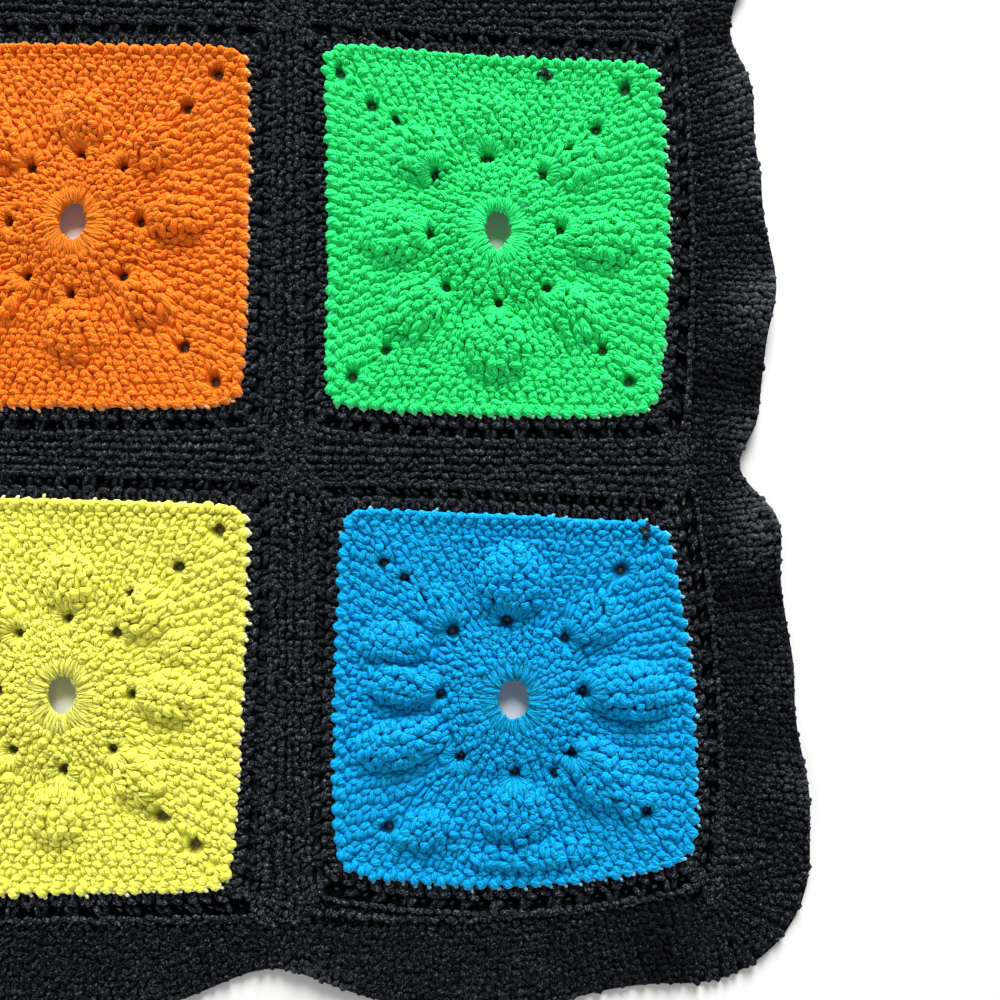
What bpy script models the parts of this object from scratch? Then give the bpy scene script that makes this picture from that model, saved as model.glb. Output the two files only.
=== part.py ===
"""Granny square blanket: nine crocheted squares in black surrounds, with a ribbed black border.

The blanket lies flat on its back face, which is the plane z = 0. +X runs along the short side
and +Y along the long side. The origin is the middle of the underside. Units are metres; the
tables are in millimetres and are scaled by MM.
"""
import math

import bpy
import bmesh
from mathutils import Vector

MM = 0.001

# ---------------------------------------------------------------- driving dimensions
CLOTH = 3.9          # thickness of plain single crochet
CENTRE_CLOTH = 4.4   # thickness of the bright rounds between the petals
RING_HOLE_X = 6.6    # half width of the open middle ring of a square
RING_HOLE_Y = 8.8    # half height of it
GAP = 0.3            # gap that touching pieces keep
PETAL_RADIUS = 50.0  # how far a petal's top lies from the middle of its square
PETAL_WIDTH = 14.0   # spread of one petal cluster
PETAL_HEIGHT = 6.0   # height of a petal cluster over the cloth
CORNER_CUT = 0.955   # how far out the rounded corner of a bright centre reaches
BORDER_CORNER = 60.0  # radius of the blanket's rounded corners
RIB_FAN = 7.0        # how far the ribs lean outwards, beside each square
STEPS_SQUARE = 8     # facets along each side of a square
STEPS_BORDER = 15    # facets of the border beside each square
STEPS_CORNER = 6     # facets of the border round half a corner
RINGS_CENTRE = (0.0, 0.20, 0.37, 0.53, 0.72, 1.0)  # from the ring hole to the edge

# ---------------------------------------------------------------- where the squares meet
# Crossings of the joints between squares. The blanket is laid out the same when it is turned
# by half a turn, so the rows for the upper left are found from those for the lower right.
CROSSINGS = {  # (row line from the top, column line from the left): (x, y)
    (1, 2): (100.6, 111.2),
    (1, 3): (301.5, 111.5),
    (2, 2): (105.2, -118.0),
    (2, 3): (301.6, -118.0),
    (3, 0): (-304.0, -322.0),
    (3, 1): (-103.0, -333.0),
    (3, 2): (108.6, -335.3),
    (3, 3): (306.5, -320.8),
}
# How far the outer joint lines bow outwards beside each square.
BOWS = {  # (side, square along it from the left or the top): bow
    ("right", 0): 4.0,
    ("right", 1): 5.0,
    ("right", 2): 11.0,
    ("bottom", 0): 3.0,
    ("bottom", 1): 2.0,
    ("bottom", 2): 6.9,
}

# ---------------------------------------------------------------- the bright centres
# Corners before rounding, and how far each edge bows outwards at its middle.
CENTRES = [
    # row, column, yarn, top left, top right, bottom right, bottom left, bows: top, right, bottom, left, petal height factor
    (2, 2, "orange", (-83.0, 92.5), (82.5, 91.5), (82.5, -89.0), (-84.0, -88.0), (1.0, 2.2, 1.5, 1.5), 1.00),
    (2, 3, "green", (121.5, 93.5), (286.5, 83.5), (285.0, -93.0), (124.5, -88.5), (-1.5, 6.4, 3.2, -1.6), 0.85),
    (3, 2, "yellow", (-81.0, -133.5), (86.5, -138.0), (81.5, -319.0), (-82.0, -320.0), (0.5, 2.1, 1.5, 1.5), 1.00),
    (3, 3, "blue", (134.0, -139.5), (289.0, -147.0), (300.5, -305.5), (132.0, -310.0), (0.7, 6.3, 10.0, 2.0), 1.25),
    (3, 1, "blue", (-289.0, -137.0), (-124.0, -135.5), (-125.0, -315.5), (-287.0, -307.0), (1.0, 1.5, 2.0, 4.0), 1.10),
]

# ---------------------------------------------------------------- the border's outer edge
# How far out the edge bulges beside each square, and how it is drawn in at the joints.
BULGES = {  # side: rows of (place along the side, reach of the edge from the blanket's middle)
    "right": [(300.0, 351.0), (225.0, 345.0), (110.0, 338.0), (48.0, 335.5), (20.0, 338.5), (-22.0, 345.0),
              (-60.0, 339.5), (-98.0, 336.5), (-150.0, 343.5), (-225.0, 350.5), (-290.0, 357.0)],
    "bottom": [(-290.0, 364.0), (-205.0, 376.0), (-103.0, 371.0), (5.0, 375.5), (101.0, 373.0),
               (205.0, 376.0), (285.0, 363.5)],
}
PINCHES = {  # side: rows of (place along the side, depth, spread)
    "right": [(102.0, 12.5, 27.0), (-120.0, 13.0, 17.0)],
    "bottom": [(-103.0, 15.0, 30.0), (106.0, 17.0, 38.0)],
}
# Soft folds across the border where its extra length lifts it off the surface.
FOLDS = {  # side: rows of (place along the side, lift at the outer edge, spread)
    "right": [(262.0, 6.0, 22.0), (190.0, 5.0, 22.0), (132.0, 4.0, 14.0), (67.0, 7.5, 24.0), (22.0, 4.5, 18.0),
              (-42.0, 9.0, 18.0), (-101.0, 4.0, 13.0), (-149.0, 9.5, 18.0), (-218.0, 2.5, 18.0), (-270.0, 3.5, 16.0)],
    "bottom": [(-255.0, 3.0, 24.0), (-170.0, 2.5, 22.0), (-42.0, 3.0, 24.0), (45.0, 2.5, 22.0), (125.0, 3.5, 22.0),
               (208.0, 2.5, 24.0)],
}

YARN = {  # yarn: colour
    "orange": (1.00, 0.20, 0.012, 1.0),
    "green": (0.03, 0.80, 0.10, 1.0),
    "yellow": (0.90, 0.80, 0.03, 1.0),
    "blue": (0.00, 0.36, 0.83, 1.0),
    "black": (0.012, 0.013, 0.017, 1.0),
}


# ---------------------------------------------------------------- the layout
def turned(p):
    return (-p[0], -p[1])


def crossing(row, col):
    if (row, col) in CROSSINGS:
        return CROSSINGS[(row, col)]
    return turned(CROSSINGS[(3 - row, 3 - col)])


def centre_row(row, col):
    """The table row of a square's bright centre, turned by half a turn for the upper left."""
    for r, c, yarn, tl, tr, br, bl, bows, petals in CENTRES:
        if (r, c) == (row, col):
            return yarn, (tl, tr, br, bl), bows, petals
    for r, c, yarn, tl, tr, br, bl, bows, petals in CENTRES:
        if (4 - r, 4 - c) == (row, col):
            return yarn, (turned(br), turned(bl), turned(tl), turned(tr)), (bows[2], bows[3], bows[0], bows[1]), petals


def outer_bow(side, index):
    """Bow of the joint line on a side, by the square's place from the left or the top."""
    if side in ("left", "top"):
        side, index = {"left": "right", "top": "bottom"}[side], 2 - index
    return BOWS[(side, index)]


def patch(corners, bows, a, b):
    """A point of a four-sided field with bowed edges. a runs from -1 at the left to 1 at the right,
    b from -1 at the bottom to 1 at the top."""
    (tlx, tly), (trx, try_), (brx, bry), (blx, bly) = corners
    top, right, bottom, left = bows
    u, v = (a + 1) / 2, (b + 1) / 2
    x = (1 - u) * (1 - v) * blx + u * (1 - v) * brx + (1 - u) * v * tlx + u * v * trx
    y = (1 - u) * (1 - v) * bly + u * (1 - v) * bry + (1 - u) * v * tly + u * v * try_
    hump_a, hump_b = 1 - a * a, 1 - b * b
    x += hump_b * (u * right - (1 - u) * left)
    y += hump_a * (v * top - (1 - v) * bottom)
    return x, y


def cell(row, col):
    """Corners and bows of a whole square, out to the joints."""
    corners = (crossing(row - 1, col - 1), crossing(row - 1, col), crossing(row, col), crossing(row, col - 1))
    bows = (
        outer_bow("top", col - 1) if row == 1 else 0.0,
        outer_bow("right", row - 1) if col == 3 else 0.0,
        outer_bow("bottom", col - 1) if row == 3 else 0.0,
        outer_bow("left", row - 1) if col == 1 else 0.0,
    )
    return corners, bows


def square_outline(steps):
    """Points (a, b) round the edge of the unit field, counter-clockwise from the lower right."""
    out = []
    for side in range(4):
        for k in range(steps):
            t = -1 + 2 * k / steps
            out.append(((1, t), (-t, 1), (-1, -t), (t, -1))[side])
    return out


def rounded(a, b):
    """Draws in the exact corners of a bright centre."""
    return (a * CORNER_CUT, b * CORNER_CUT) if abs(a) > 0.999 and abs(b) > 0.999 else (a, b)


def petal_relief(x, y, factor):
    """Height of the eight petal clusters at a place given from the middle of the square."""
    h = 0.0
    for k in range(8):
        angle = k * math.pi / 4
        dx, dy = x - PETAL_RADIUS * math.cos(angle), y - PETAL_RADIUS * math.sin(angle)
        h += math.exp(-(dx * dx + dy * dy) / (2 * (PETAL_WIDTH * 0.72) ** 2))
    return PETAL_HEIGHT * factor * min(h, 1.0)


# ---------------------------------------------------------------- the border's layout
def smooth_rows(rows, s):
    """A smooth curve through rows of (place, value), flat beyond its ends."""
    rows = sorted(rows)
    if s <= rows[0][0]:
        return rows[0][1]
    if s >= rows[-1][0]:
        return rows[-1][1]
    for (s0, v0), (s1, v1) in zip(rows, rows[1:]):
        if s0 <= s <= s1:
            t = (s - s0) / (s1 - s0)
            return v0 + (v1 - v0) * t * t * (3 - 2 * t)


def reach(side, s):
    """Reach of the blanket's edge on the right or the bottom side."""
    r = smooth_rows(BULGES[side], s)
    for place, depth, spread in PINCHES[side]:
        r -= depth * math.exp(-(((s - place) / spread) ** 2))
    return r


def lift(side, s):
    """How high the folds raise the outer edge at a place along a side."""
    h = 0.0
    for place, height, spread in FOLDS[side]:
        h += height * math.exp(-(((s - place) / spread) ** 2))
    return h


def fan(side, s):
    """How far the ribs' outer ends lie beyond their roots, along the side."""
    lines = sorted([-500.0, 500.0] + [p for p, d, w in PINCHES[side]])
    for lo, hi in zip(lines, lines[1:]):
        if lo <= s <= hi:
            lo, hi = max(lo, -325.0), min(hi, 325.0)
            t = (s - lo) / (hi - lo)
            return -RIB_FAN * math.sin(2 * math.pi * t) * (1.0 if abs(lo) < 320 and abs(hi) < 320 else 0.7)
    return 0.0


def side_root(side, t):
    """A point of the outer joint line of the right or the bottom side. t runs from 0 to 3, a unit
    for each square, clockwise: downwards on the right side and to the left along the bottom."""
    k = min(int(t), 2)
    f = t - k
    if side == "right":
        corners, bows = cell(k + 1, 3)
        return patch(corners, bows, 1, 1 - 2 * f)
    corners, bows = cell(3, 3 - k)
    return patch(corners, bows, 1 - 2 * f, -1)


def edge_point(side, root):
    """The point of the outer edge that belongs to a point of the joint line, away from the corners."""
    if side == "right":
        s = root[1] + fan("right", root[1])
        return reach("right", s), s
    s = root[0] + fan("bottom", root[0])
    return s, -reach("bottom", s)


def corner_point(corner, angle):
    """A point of the rounded outer corner. Angle 0 lies at the end of the right side and a quarter
    turn at the start of the bottom side, on the lower right corner."""
    if corner == "lower_right":
        right, low = reach("right", -302.0), reach("bottom", 302.0)
        cx, cy = right - BORDER_CORNER, -(low - BORDER_CORNER)
        return cx + BORDER_CORNER * math.cos(angle), cy - BORDER_CORNER * math.sin(angle)
    right, low = reach("right", 302.0), reach("bottom", -302.0)  # the lower left one
    cx, cy = -(right - BORDER_CORNER), -(low - BORDER_CORNER)
    return cx - BORDER_CORNER * math.sin(angle), cy - BORDER_CORNER * math.cos(angle)


def border_stations(side):
    """Pairs of root and outer point along the right or the bottom side, clockwise from corner to
    corner, with the lift of the outer edge."""
    out = []
    upper = "upper_right" if side == "right" else "lower_right"
    lower = "lower_right" if side == "right" else "lower_left"

    def corner(name, angle):
        if name == "upper_right":  # the lower left corner, turned by half a turn
            return turned(corner_point("lower_left", angle))
        return corner_point(name, angle)

    n = STEPS_BORDER
    ts = [k / n for k in range(0, 3 * n + 1)]
    # The side's own stretch lies between the two corners' curves.
    for k in range(STEPS_CORNER):
        angle = math.pi / 4 + (math.pi / 4) * k / STEPS_CORNER
        out.append((side_root(side, 0.0), corner(upper, angle), 0.0))
    for t in ts:
        root = side_root(side, t)
        place = root[1] if side == "right" else root[0]
        outer = edge_point(side, root)
        start, end = corner(upper, math.pi / 2), corner(lower, 0.0)
        along = 1 if side == "right" else 0
        limit_hi, limit_lo = start[along], end[along]
        # Near the corners the stations follow the curve's own ends.
        blend_hi = max(0.0, 1 - t / 0.28)
        blend_lo = max(0.0, 1 - (3 - t) / 0.28)
        s = outer[along]
        s = min(max(s, limit_lo), limit_hi)
        s += (limit_hi - s) * blend_hi ** 1.5 + (limit_lo - s) * blend_lo ** 1.5
        outer = (reach("right", s), s) if side == "right" else (s, -reach("bottom", s))
        if blend_hi > 0:
            outer = tuple(outer[i] + (start[i] - outer[i]) * blend_hi ** 1.5 for i in (0, 1))
        if blend_lo > 0:
            outer = tuple(outer[i] + (end[i] - outer[i]) * blend_lo ** 1.5 for i in (0, 1))
        out.append((root, outer, lift(side, s)))
    for k in range(1, STEPS_CORNER + 1):
        angle = (math.pi / 4) * k / STEPS_CORNER
        out.append((side_root(side, 3.0), corner(lower, angle), 0.0))
    return out


# ---------------------------------------------------------------- solids
def new_object(name, bm, yarn):
    for v in bm.verts:
        v.co = Vector(v.co) * MM
    bmesh.ops.recalc_face_normals(bm, faces=bm.faces)
    mesh = bpy.data.meshes.new(name)
    bm.to_mesh(mesh)
    bm.free()
    mesh.shade_smooth()
    mesh.set_sharp_from_angle(angle=math.radians(40))
    obj = bpy.data.objects.new(name, mesh)
    obj.data.materials.append(material(yarn))
    bpy.context.scene.collection.objects.link(obj)
    return obj


def material(yarn):
    name = "yarn_" + yarn
    mat = bpy.data.materials.get(name)
    if mat is None:
        mat = bpy.data.materials.new(name)
        mat.use_nodes = True
        shader = mat.node_tree.nodes["Principled BSDF"]
        shader.inputs["Base Color"].default_value = YARN[yarn]
        shader.inputs["Roughness"].default_value = 0.9
        shader.inputs["Metallic"].default_value = 0.0
        mat.diffuse_color = YARN[yarn]
    return mat


def ring_solid(name, rings, yarn):
    """A closed flat ring of cloth. rings holds loops of (x, y, top height) from the inside out; the
    underside is flat and has only the first and the last loop."""
    bm = bmesh.new()
    top = [[bm.verts.new(p) for p in loop] for loop in rings]
    under = [[bm.verts.new((p[0], p[1], 0.0)) for p in loop] for loop in (rings[0], rings[-1])]
    n = len(rings[0])
    for inner, outer in zip(top, top[1:]):
        for i in range(n):
            j = (i + 1) % n
            bm.faces.new((inner[i], outer[i], outer[j], inner[j]))
    for i in range(n):
        j = (i + 1) % n
        bm.faces.new((under[0][i], under[0][j], under[1][j], under[1][i]))
        bm.faces.new((top[-1][i], under[1][i], under[1][j], top[-1][j]))
        bm.faces.new((top[0][i], top[0][j], under[0][j], under[0][i]))
    bmesh.ops.triangulate(bm, faces=bm.faces[:])
    return new_object(name, bm, yarn)


def shrunk(p, towards, by):
    dx, dy = towards[0] - p[0], towards[1] - p[1]
    d = math.hypot(dx, dy)
    return (p[0] + dx / d * by, p[1] + dy / d * by)


def make_square(row, col):
    yarn, corners, bows, petals = centre_row(row, col)
    mid = patch(corners, bows, 0, 0)
    outline = square_outline(STEPS_SQUARE)
    edge = [patch(corners, bows, *rounded(a, b)) for a, b in outline]
    n = len(outline)
    rings = []
    for f in RINGS_CENTRE:
        loop = []
        for i, (a, b) in enumerate(outline):
            direction = math.atan2(b, a)
            hole = (mid[0] + RING_HOLE_X * math.cos(direction), mid[1] + RING_HOLE_Y * math.sin(direction))
            x, y = hole[0] + (edge[i][0] - hole[0]) * f, hole[1] + (edge[i][1] - hole[1]) * f
            if 0 < f < 1:  # the inner rounds are rounder than the outer ones
                length = math.hypot(edge[i][0] - mid[0], edge[i][1] - mid[1])
                even = 88.0 * f + 7.5 * (1 - f)
                r = math.hypot(x - mid[0], y - mid[1])
                want = r + (even - r) * (1 - f) * min(1.0, length / 88.0)
                x, y = mid[0] + (x - mid[0]) * want / r, mid[1] + (y - mid[1]) * want / r
            z = CENTRE_CLOTH + petal_relief(x - mid[0], y - mid[1], petals)
            if f == 0.0:
                z = CENTRE_CLOTH - 0.8
            loop.append((x, y, z))
        rings.append(loop)
    ring_solid(f"centre_r{row}c{col}", rings, yarn)

    field, field_bows = cell(row, col)
    inner, outer = [], []
    for i, (a, b) in enumerate(outline):
        x, y = shrunk(edge[i], mid, -GAP * 1.45)
        inner.append((x, y, CLOTH))
        joint = patch(field, field_bows, a, b)
        x, y = joint
        x -= math.copysign(GAP * 0.6, a) if abs(a) > 0.999 else 0.0
        y -= math.copysign(GAP * 0.6, b) if abs(b) > 0.999 else 0.0
        outer.append((x, y, CLOTH))
    ring_solid(f"surround_r{row}c{col}", [inner, outer], "black")


def make_border(side):
    """The right or the bottom side, or its copy turned by half a turn for the left or the top."""
    base = {"right": "right", "left": "right", "bottom": "bottom", "top": "bottom"}[side]
    sign = 1 if side == base else -1
    stations = border_stations(base)
    last = len(stations) - 1
    columns = []
    for k, (root, outer, height) in enumerate(stations):
        if base == "right":
            root = (root[0] + GAP * 0.6, root[1])
        else:
            root = (root[0], root[1] - GAP * 0.6)
        column = []
        for v in (0.0, 0.5, 1.0):
            x, y = root[0] + (outer[0] - root[0]) * v, root[1] + (outer[1] - root[1]) * v
            if k in (0, last):  # the mitre between two sides
                along = (0.75 * GAP) if k == 0 else (-0.75 * GAP)
                if base == "right":
                    y -= along
                else:
                    x -= along
            z = height * v ** 1.5
            column.append((sign * x, sign * y, z, z + CLOTH))
        columns.append(column)
    # The stations of a corner share one root, so they become a fan there.
    return strip_solid(f"border_{side}", columns)


def strip_solid(name, columns):
    """A closed strip of cloth. columns holds, for each station, a list of (x, y, under, top)."""
    bm = bmesh.new()
    tops, unders = [], []
    previous = None
    for col in columns:
        if previous is not None and abs(col[0][0] - previous[0][0]) < 0.2 and abs(col[0][1] - previous[0][1]) < 0.2:
            t0, u0 = tops[-1][0], unders[-1][0]
        else:
            t0 = bm.verts.new((col[0][0], col[0][1], col[0][3]))
            u0 = bm.verts.new((col[0][0], col[0][1], col[0][2]))
            previous = col
        tops.append([t0] + [bm.verts.new((x, y, z1)) for x, y, z0, z1 in col[1:]])
        unders.append([u0] + [bm.verts.new((x, y, z0)) for x, y, z0, z1 in col[1:]])

    def face(*verts):
        kept = []
        for v in verts:
            if v not in kept:
                kept.append(v)
        if len(kept) > 2:
            bm.faces.new(kept)

    n, m = len(columns), len(columns[0])
    for i in range(n - 1):
        for j in range(m - 1):
            face(tops[i][j], tops[i + 1][j], tops[i + 1][j + 1], tops[i][j + 1])
            face(unders[i][j], unders[i][j + 1], unders[i + 1][j + 1], unders[i + 1][j])
        if tops[i][0] is not tops[i + 1][0]:
            face(tops[i][0], unders[i][0], unders[i + 1][0], tops[i + 1][0])
        face(tops[i][-1], tops[i + 1][-1], unders[i + 1][-1], unders[i][-1])
    for j in range(m - 1):
        face(tops[0][j], tops[0][j + 1], unders[0][j + 1], unders[0][j])
        face(tops[-1][j], unders[-1][j], unders[-1][j + 1], tops[-1][j + 1])
    bmesh.ops.triangulate(bm, faces=bm.faces[:])
    return new_object(name, bm, "black")


def main():
    for obj in list(bpy.data.objects):
        bpy.data.objects.remove(obj, do_unlink=True)
    for row in (1, 2, 3):
        for col in (1, 2, 3):
            make_square(row, col)
    for side in ("right", "bottom", "left", "top"):
        make_border(side)


main()
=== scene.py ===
import math

import bpy
import numpy as np
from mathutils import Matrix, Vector
from mathutils.geometry import delaunay_2d_cdt


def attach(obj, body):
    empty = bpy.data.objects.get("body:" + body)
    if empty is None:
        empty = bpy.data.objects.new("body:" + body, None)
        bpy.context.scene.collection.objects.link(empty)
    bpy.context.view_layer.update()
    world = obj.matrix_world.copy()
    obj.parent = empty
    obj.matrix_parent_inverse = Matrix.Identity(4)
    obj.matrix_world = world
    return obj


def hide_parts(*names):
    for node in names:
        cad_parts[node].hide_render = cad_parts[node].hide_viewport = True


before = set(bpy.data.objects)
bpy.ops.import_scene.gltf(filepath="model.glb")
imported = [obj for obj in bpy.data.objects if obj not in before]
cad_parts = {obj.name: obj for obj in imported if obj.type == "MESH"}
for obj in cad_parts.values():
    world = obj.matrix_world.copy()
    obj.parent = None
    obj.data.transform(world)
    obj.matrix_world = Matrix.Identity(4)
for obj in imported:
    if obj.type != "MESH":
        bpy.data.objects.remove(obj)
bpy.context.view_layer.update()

MM = 0.001
TAU = 2 * math.pi
rng = np.random.default_rng(7)

# ---------------------------------------------------------------- camera first
TILT = math.radians(3.1)
camera = bpy.data.cameras.new("camera")
camera.sensor_width, camera.lens = 36.0, 27.04
camera.clip_start, camera.clip_end = 0.01, 50.0
eye = bpy.data.objects.new("camera", camera)
eye.location = (0.2095, -0.1355 - math.sin(TILT) * 0.3635, 0.004 + math.cos(TILT) * 0.3635)
eye.rotation_euler = (TILT, 0, 0)
bpy.context.scene.collection.objects.link(eye)
bpy.context.scene.camera = eye

# ---------------------------------------------------------------- the layout of the blanket
GAP = 0.3
BORDER_CORNER = 60.0
RIB_FAN = 7.0
CROSSINGS = {  # (row line from the top, column line from the left): (x, y)
    (1, 2): (100.6, 111.2),
    (1, 3): (301.5, 111.5),
    (2, 2): (105.2, -118.0),
    (2, 3): (301.6, -118.0),
    (3, 0): (-304.0, -322.0),
    (3, 1): (-103.0, -333.0),
    (3, 2): (108.6, -335.3),
    (3, 3): (306.5, -320.8),
}
BOWS = {  # (side, square along it from the left or the top): bow
    ("right", 0): 4.0,
    ("right", 1): 5.0,
    ("right", 2): 11.0,
    ("bottom", 0): 3.0,
    ("bottom", 1): 2.0,
    ("bottom", 2): 6.9,
}
CENTRES = [
    # row, column, yarn, top left, top right, bottom right, bottom left, bows: top, right, bottom, left
    (2, 2, "orange", (-83.0, 92.5), (82.5, 91.5), (82.5, -89.0), (-84.0, -88.0), (1.0, 2.2, 1.5, 1.5)),
    (2, 3, "green", (121.5, 93.5), (286.5, 83.5), (285.0, -93.0), (124.5, -88.5), (-1.5, 6.4, 3.2, -1.6)),
    (3, 2, "yellow", (-81.0, -133.5), (86.5, -138.0), (81.5, -319.0), (-82.0, -320.0), (0.5, 2.1, 1.5, 1.5)),
    (3, 3, "blue", (134.0, -139.5), (289.0, -147.0), (300.5, -305.5), (132.0, -310.0), (0.7, 6.3, 10.0, 2.0)),
    (3, 1, "blue", (-289.0, -137.0), (-124.0, -135.5), (-125.0, -315.5), (-287.0, -307.0), (1.0, 1.5, 2.0, 4.0)),
]
BULGES = {  # side: rows of (place along the side, reach of the edge from the blanket's middle)
    "right": [(300.0, 351.0), (225.0, 345.0), (110.0, 338.0), (48.0, 335.5), (20.0, 338.5), (-22.0, 345.0),
              (-60.0, 339.5), (-98.0, 336.5), (-150.0, 343.5), (-225.0, 350.5), (-290.0, 357.0)],
    "bottom": [(-290.0, 364.0), (-205.0, 376.0), (-103.0, 371.0), (5.0, 375.5), (101.0, 373.0),
               (205.0, 376.0), (285.0, 363.5)],
}
PINCHES = {  # side: rows of (place along the side, depth, spread)
    "right": [(102.0, 12.5, 27.0), (-120.0, 13.0, 17.0)],
    "bottom": [(-103.0, 15.0, 30.0), (106.0, 17.0, 38.0)],
}
FOLDS = {  # side: rows of (place along the side, lift at the outer edge, spread)
    "right": [(262.0, 6.0, 22.0), (190.0, 5.0, 22.0), (132.0, 4.0, 14.0), (67.0, 7.5, 24.0), (22.0, 4.5, 18.0),
              (-42.0, 9.0, 18.0), (-101.0, 4.0, 13.0), (-149.0, 9.5, 18.0), (-218.0, 2.5, 18.0), (-270.0, 3.5, 16.0)],
    "bottom": [(-255.0, 3.0, 24.0), (-170.0, 2.5, 22.0), (-42.0, 3.0, 24.0), (45.0, 2.5, 22.0), (125.0, 3.5, 22.0),
               (208.0, 2.5, 24.0)],
}
OVERLAPS = {  # square: places where the black yarn laps over the bright edge
    (2, 3): [(231.3, 77.5)],
    (3, 3): [(280.2, -150.0), (134.5, -147.6)],
}
VISIBLE = {(2, 2), (2, 3), (3, 2), (3, 3)}  # squares made with the finest stitches

# ---------------------------------------------------------------- the relief of the bright squares
# Places are in field units, from -1 to 1 across the square; sizes are in millimetres.
HOLES = {  # yarn: rows of (a, b, half width, half height)
    "green": [(-0.05, 0.42, 2.9, 1.9), (0.27, 0.34, 2.0, 2.4), (0.37, 0.03, 1.9, 2.4), (0.29, -0.29, 2.2, 1.8),
              (0.01, -0.38, 1.8, 1.7), (-0.30, -0.31, 2.0, 1.9), (-0.40, -0.03, 1.3, 2.8), (-0.37, 0.31, 1.5, 3.2),
              (0.61, 0.61, 2.1, 2.5), (0.44, 0.49, 1.3, 1.3), (-0.73, 0.68, 2.4, 2.3), (-0.59, 0.61, 1.9, 1.5),
              (-0.65, -0.68, 1.9, 2.4), (0.64, -0.64, 2.2, 2.5), (-0.91, 0.85, 2.3, 3.7), (0.81, 0.85, 2.2, 3.6),
              (-0.85, -0.84, 2.6, 3.2), (0.82, -0.82, 3.1, 3.2)],
    "blue": [(-0.02, 0.42, 3.1, 2.3), (0.31, 0.32, 1.7, 2.7), (0.39, 0.03, 2.7, 2.5), (0.32, -0.30, 2.0, 1.9),
             (0.0, -0.40, 2.2, 2.7), (-0.30, -0.32, 1.9, 2.2), (-0.41, 0.01, 2.2, 2.6), (-0.34, 0.35, 2.6, 2.9),
             (0.22, -0.41, 1.4, 1.8), (-0.62, 0.63, 2.2, 1.6), (-0.51, 0.55, 1.0, 1.0), (0.53, 0.49, 1.2, 1.4),
             (-0.74, 0.70, 2.6, 2.2), (0.68, 0.71, 3.5, 3.6), (-0.70, -0.73, 4.0, 2.3), (0.73, -0.67, 2.4, 3.3)],
    "orange": [(0.01, 0.38, 2.4, 2.1), (0.26, 0.31, 2.1, 2.0), (0.37, 0.01, 1.8, 3.2), (0.28, -0.29, 2.2, 1.9),
               (-0.01, -0.38, 2.0, 2.0), (-0.27, -0.29, 2.0, 2.0), (-0.38, 0.0, 1.9, 2.5), (-0.27, 0.31, 2.0, 2.1),
               (0.64, 0.65, 2.4, 3.0), (0.65, -0.68, 2.9, 3.0), (-0.64, 0.66, 2.4, 2.6), (-0.63, -0.67, 2.6, 2.6),
               (0.82, 0.85, 3.0, 2.6), (0.84, -0.87, 3.2, 3.4), (-0.83, 0.85, 2.8, 2.8), (-0.84, -0.85, 3.0, 3.0)],
    "yellow": [(0.0, 0.38, 2.3, 2.2), (0.27, 0.31, 2.0, 2.0), (0.38, 0.0, 1.8, 2.8), (0.28, -0.28, 2.1, 2.0),
               (0.01, -0.38, 2.0, 2.1), (-0.28, -0.29, 2.0, 2.0), (-0.38, 0.01, 1.9, 2.4), (-0.28, 0.30, 2.0, 2.1),
               (0.61, 0.66, 3.0, 2.6), (0.35, 0.52, 1.4, 1.4), (0.58, -0.63, 4.2, 2.8), (-0.62, 0.65, 2.6, 2.6),
               (-0.60, -0.65, 2.8, 2.6), (0.84, 0.86, 2.8, 2.8), (0.78, -0.78, 4.4, 3.2), (-0.82, 0.84, 2.8, 2.8),
               (-0.82, -0.82, 3.2, 3.0)],
}
MOUNDS = {  # yarn: rows of (a, b, along, across, height, direction of the long axis in degrees)
    "green": [(-0.03, 0.62, 15, 18, 3.2, 90), (0.48, 0.42, 15, 13, 3.4, 40), (0.61, -0.02, 18, 14, 5.0, 0),
              (0.47, -0.44, 16, 13, 3.6, -42), (0.0, -0.62, 17, 17, 5.6, 90), (-0.48, -0.44, 17, 14, 4.2, 45),
              (-0.62, -0.04, 18, 15, 5.0, 0), (-0.46, 0.42, 15, 14, 3.8, -45)],
    "blue": [(0.03, 0.64, 17, 17, 7.5, 90), (0.50, 0.43, 14, 12, 4.2, 40), (0.65, 0.03, 23, 13.5, 7.4, -6),
             (0.46, -0.42, 19, 15, 6.2, -42), (0.0, -0.61, 15, 17, 6.5, 90), (-0.64, -0.27, 22, 11, 6.5, 12),
             (-0.66, 0.27, 18, 10, 4.5, 0), (-0.62, 0.05, 18, 10, 6.5, -4), (-0.45, 0.47, 12, 11, 3.2, -45),
             (0.10, -0.84, 30, 7, 3.5, 4), (-0.50, -0.72, 16, 9, 4.0, 8), (0.62, -0.56, 15, 10, 4.0, -30)],
    "orange": [(0.02, 0.58, 14, 14, 4.5, 90), (0.44, 0.42, 13, 12, 4.0, 45), (0.60, 0.03, 15, 12, 5.5, 0),
               (0.44, -0.42, 14, 12, 4.2, -45), (0.0, -0.60, 14, 14, 5.0, 90), (-0.44, -0.43, 14, 12, 4.2, 45),
               (-0.60, 0.0, 15, 13, 5.0, 0), (-0.44, 0.43, 13, 12, 4.2, -45), (0.62, 0.20, 8, 8, 2.4, 0)],
    "yellow": [(0.0, 0.59, 14, 14, 4.8, 90), (0.44, 0.43, 13, 12, 4.4, 45), (0.60, 0.0, 16, 12, 5.6, 0),
               (0.45, -0.42, 14, 12, 4.0, -45), (0.0, -0.60, 14, 14, 4.8, 90), (-0.44, -0.43, 14, 12, 4.2, 45),
               (-0.60, 0.0, 15, 13, 5.0, 0), (-0.44, 0.43, 13, 12, 4.2, -45), (0.64, 0.24, 9, 8, 2.6, 0)],
}
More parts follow.
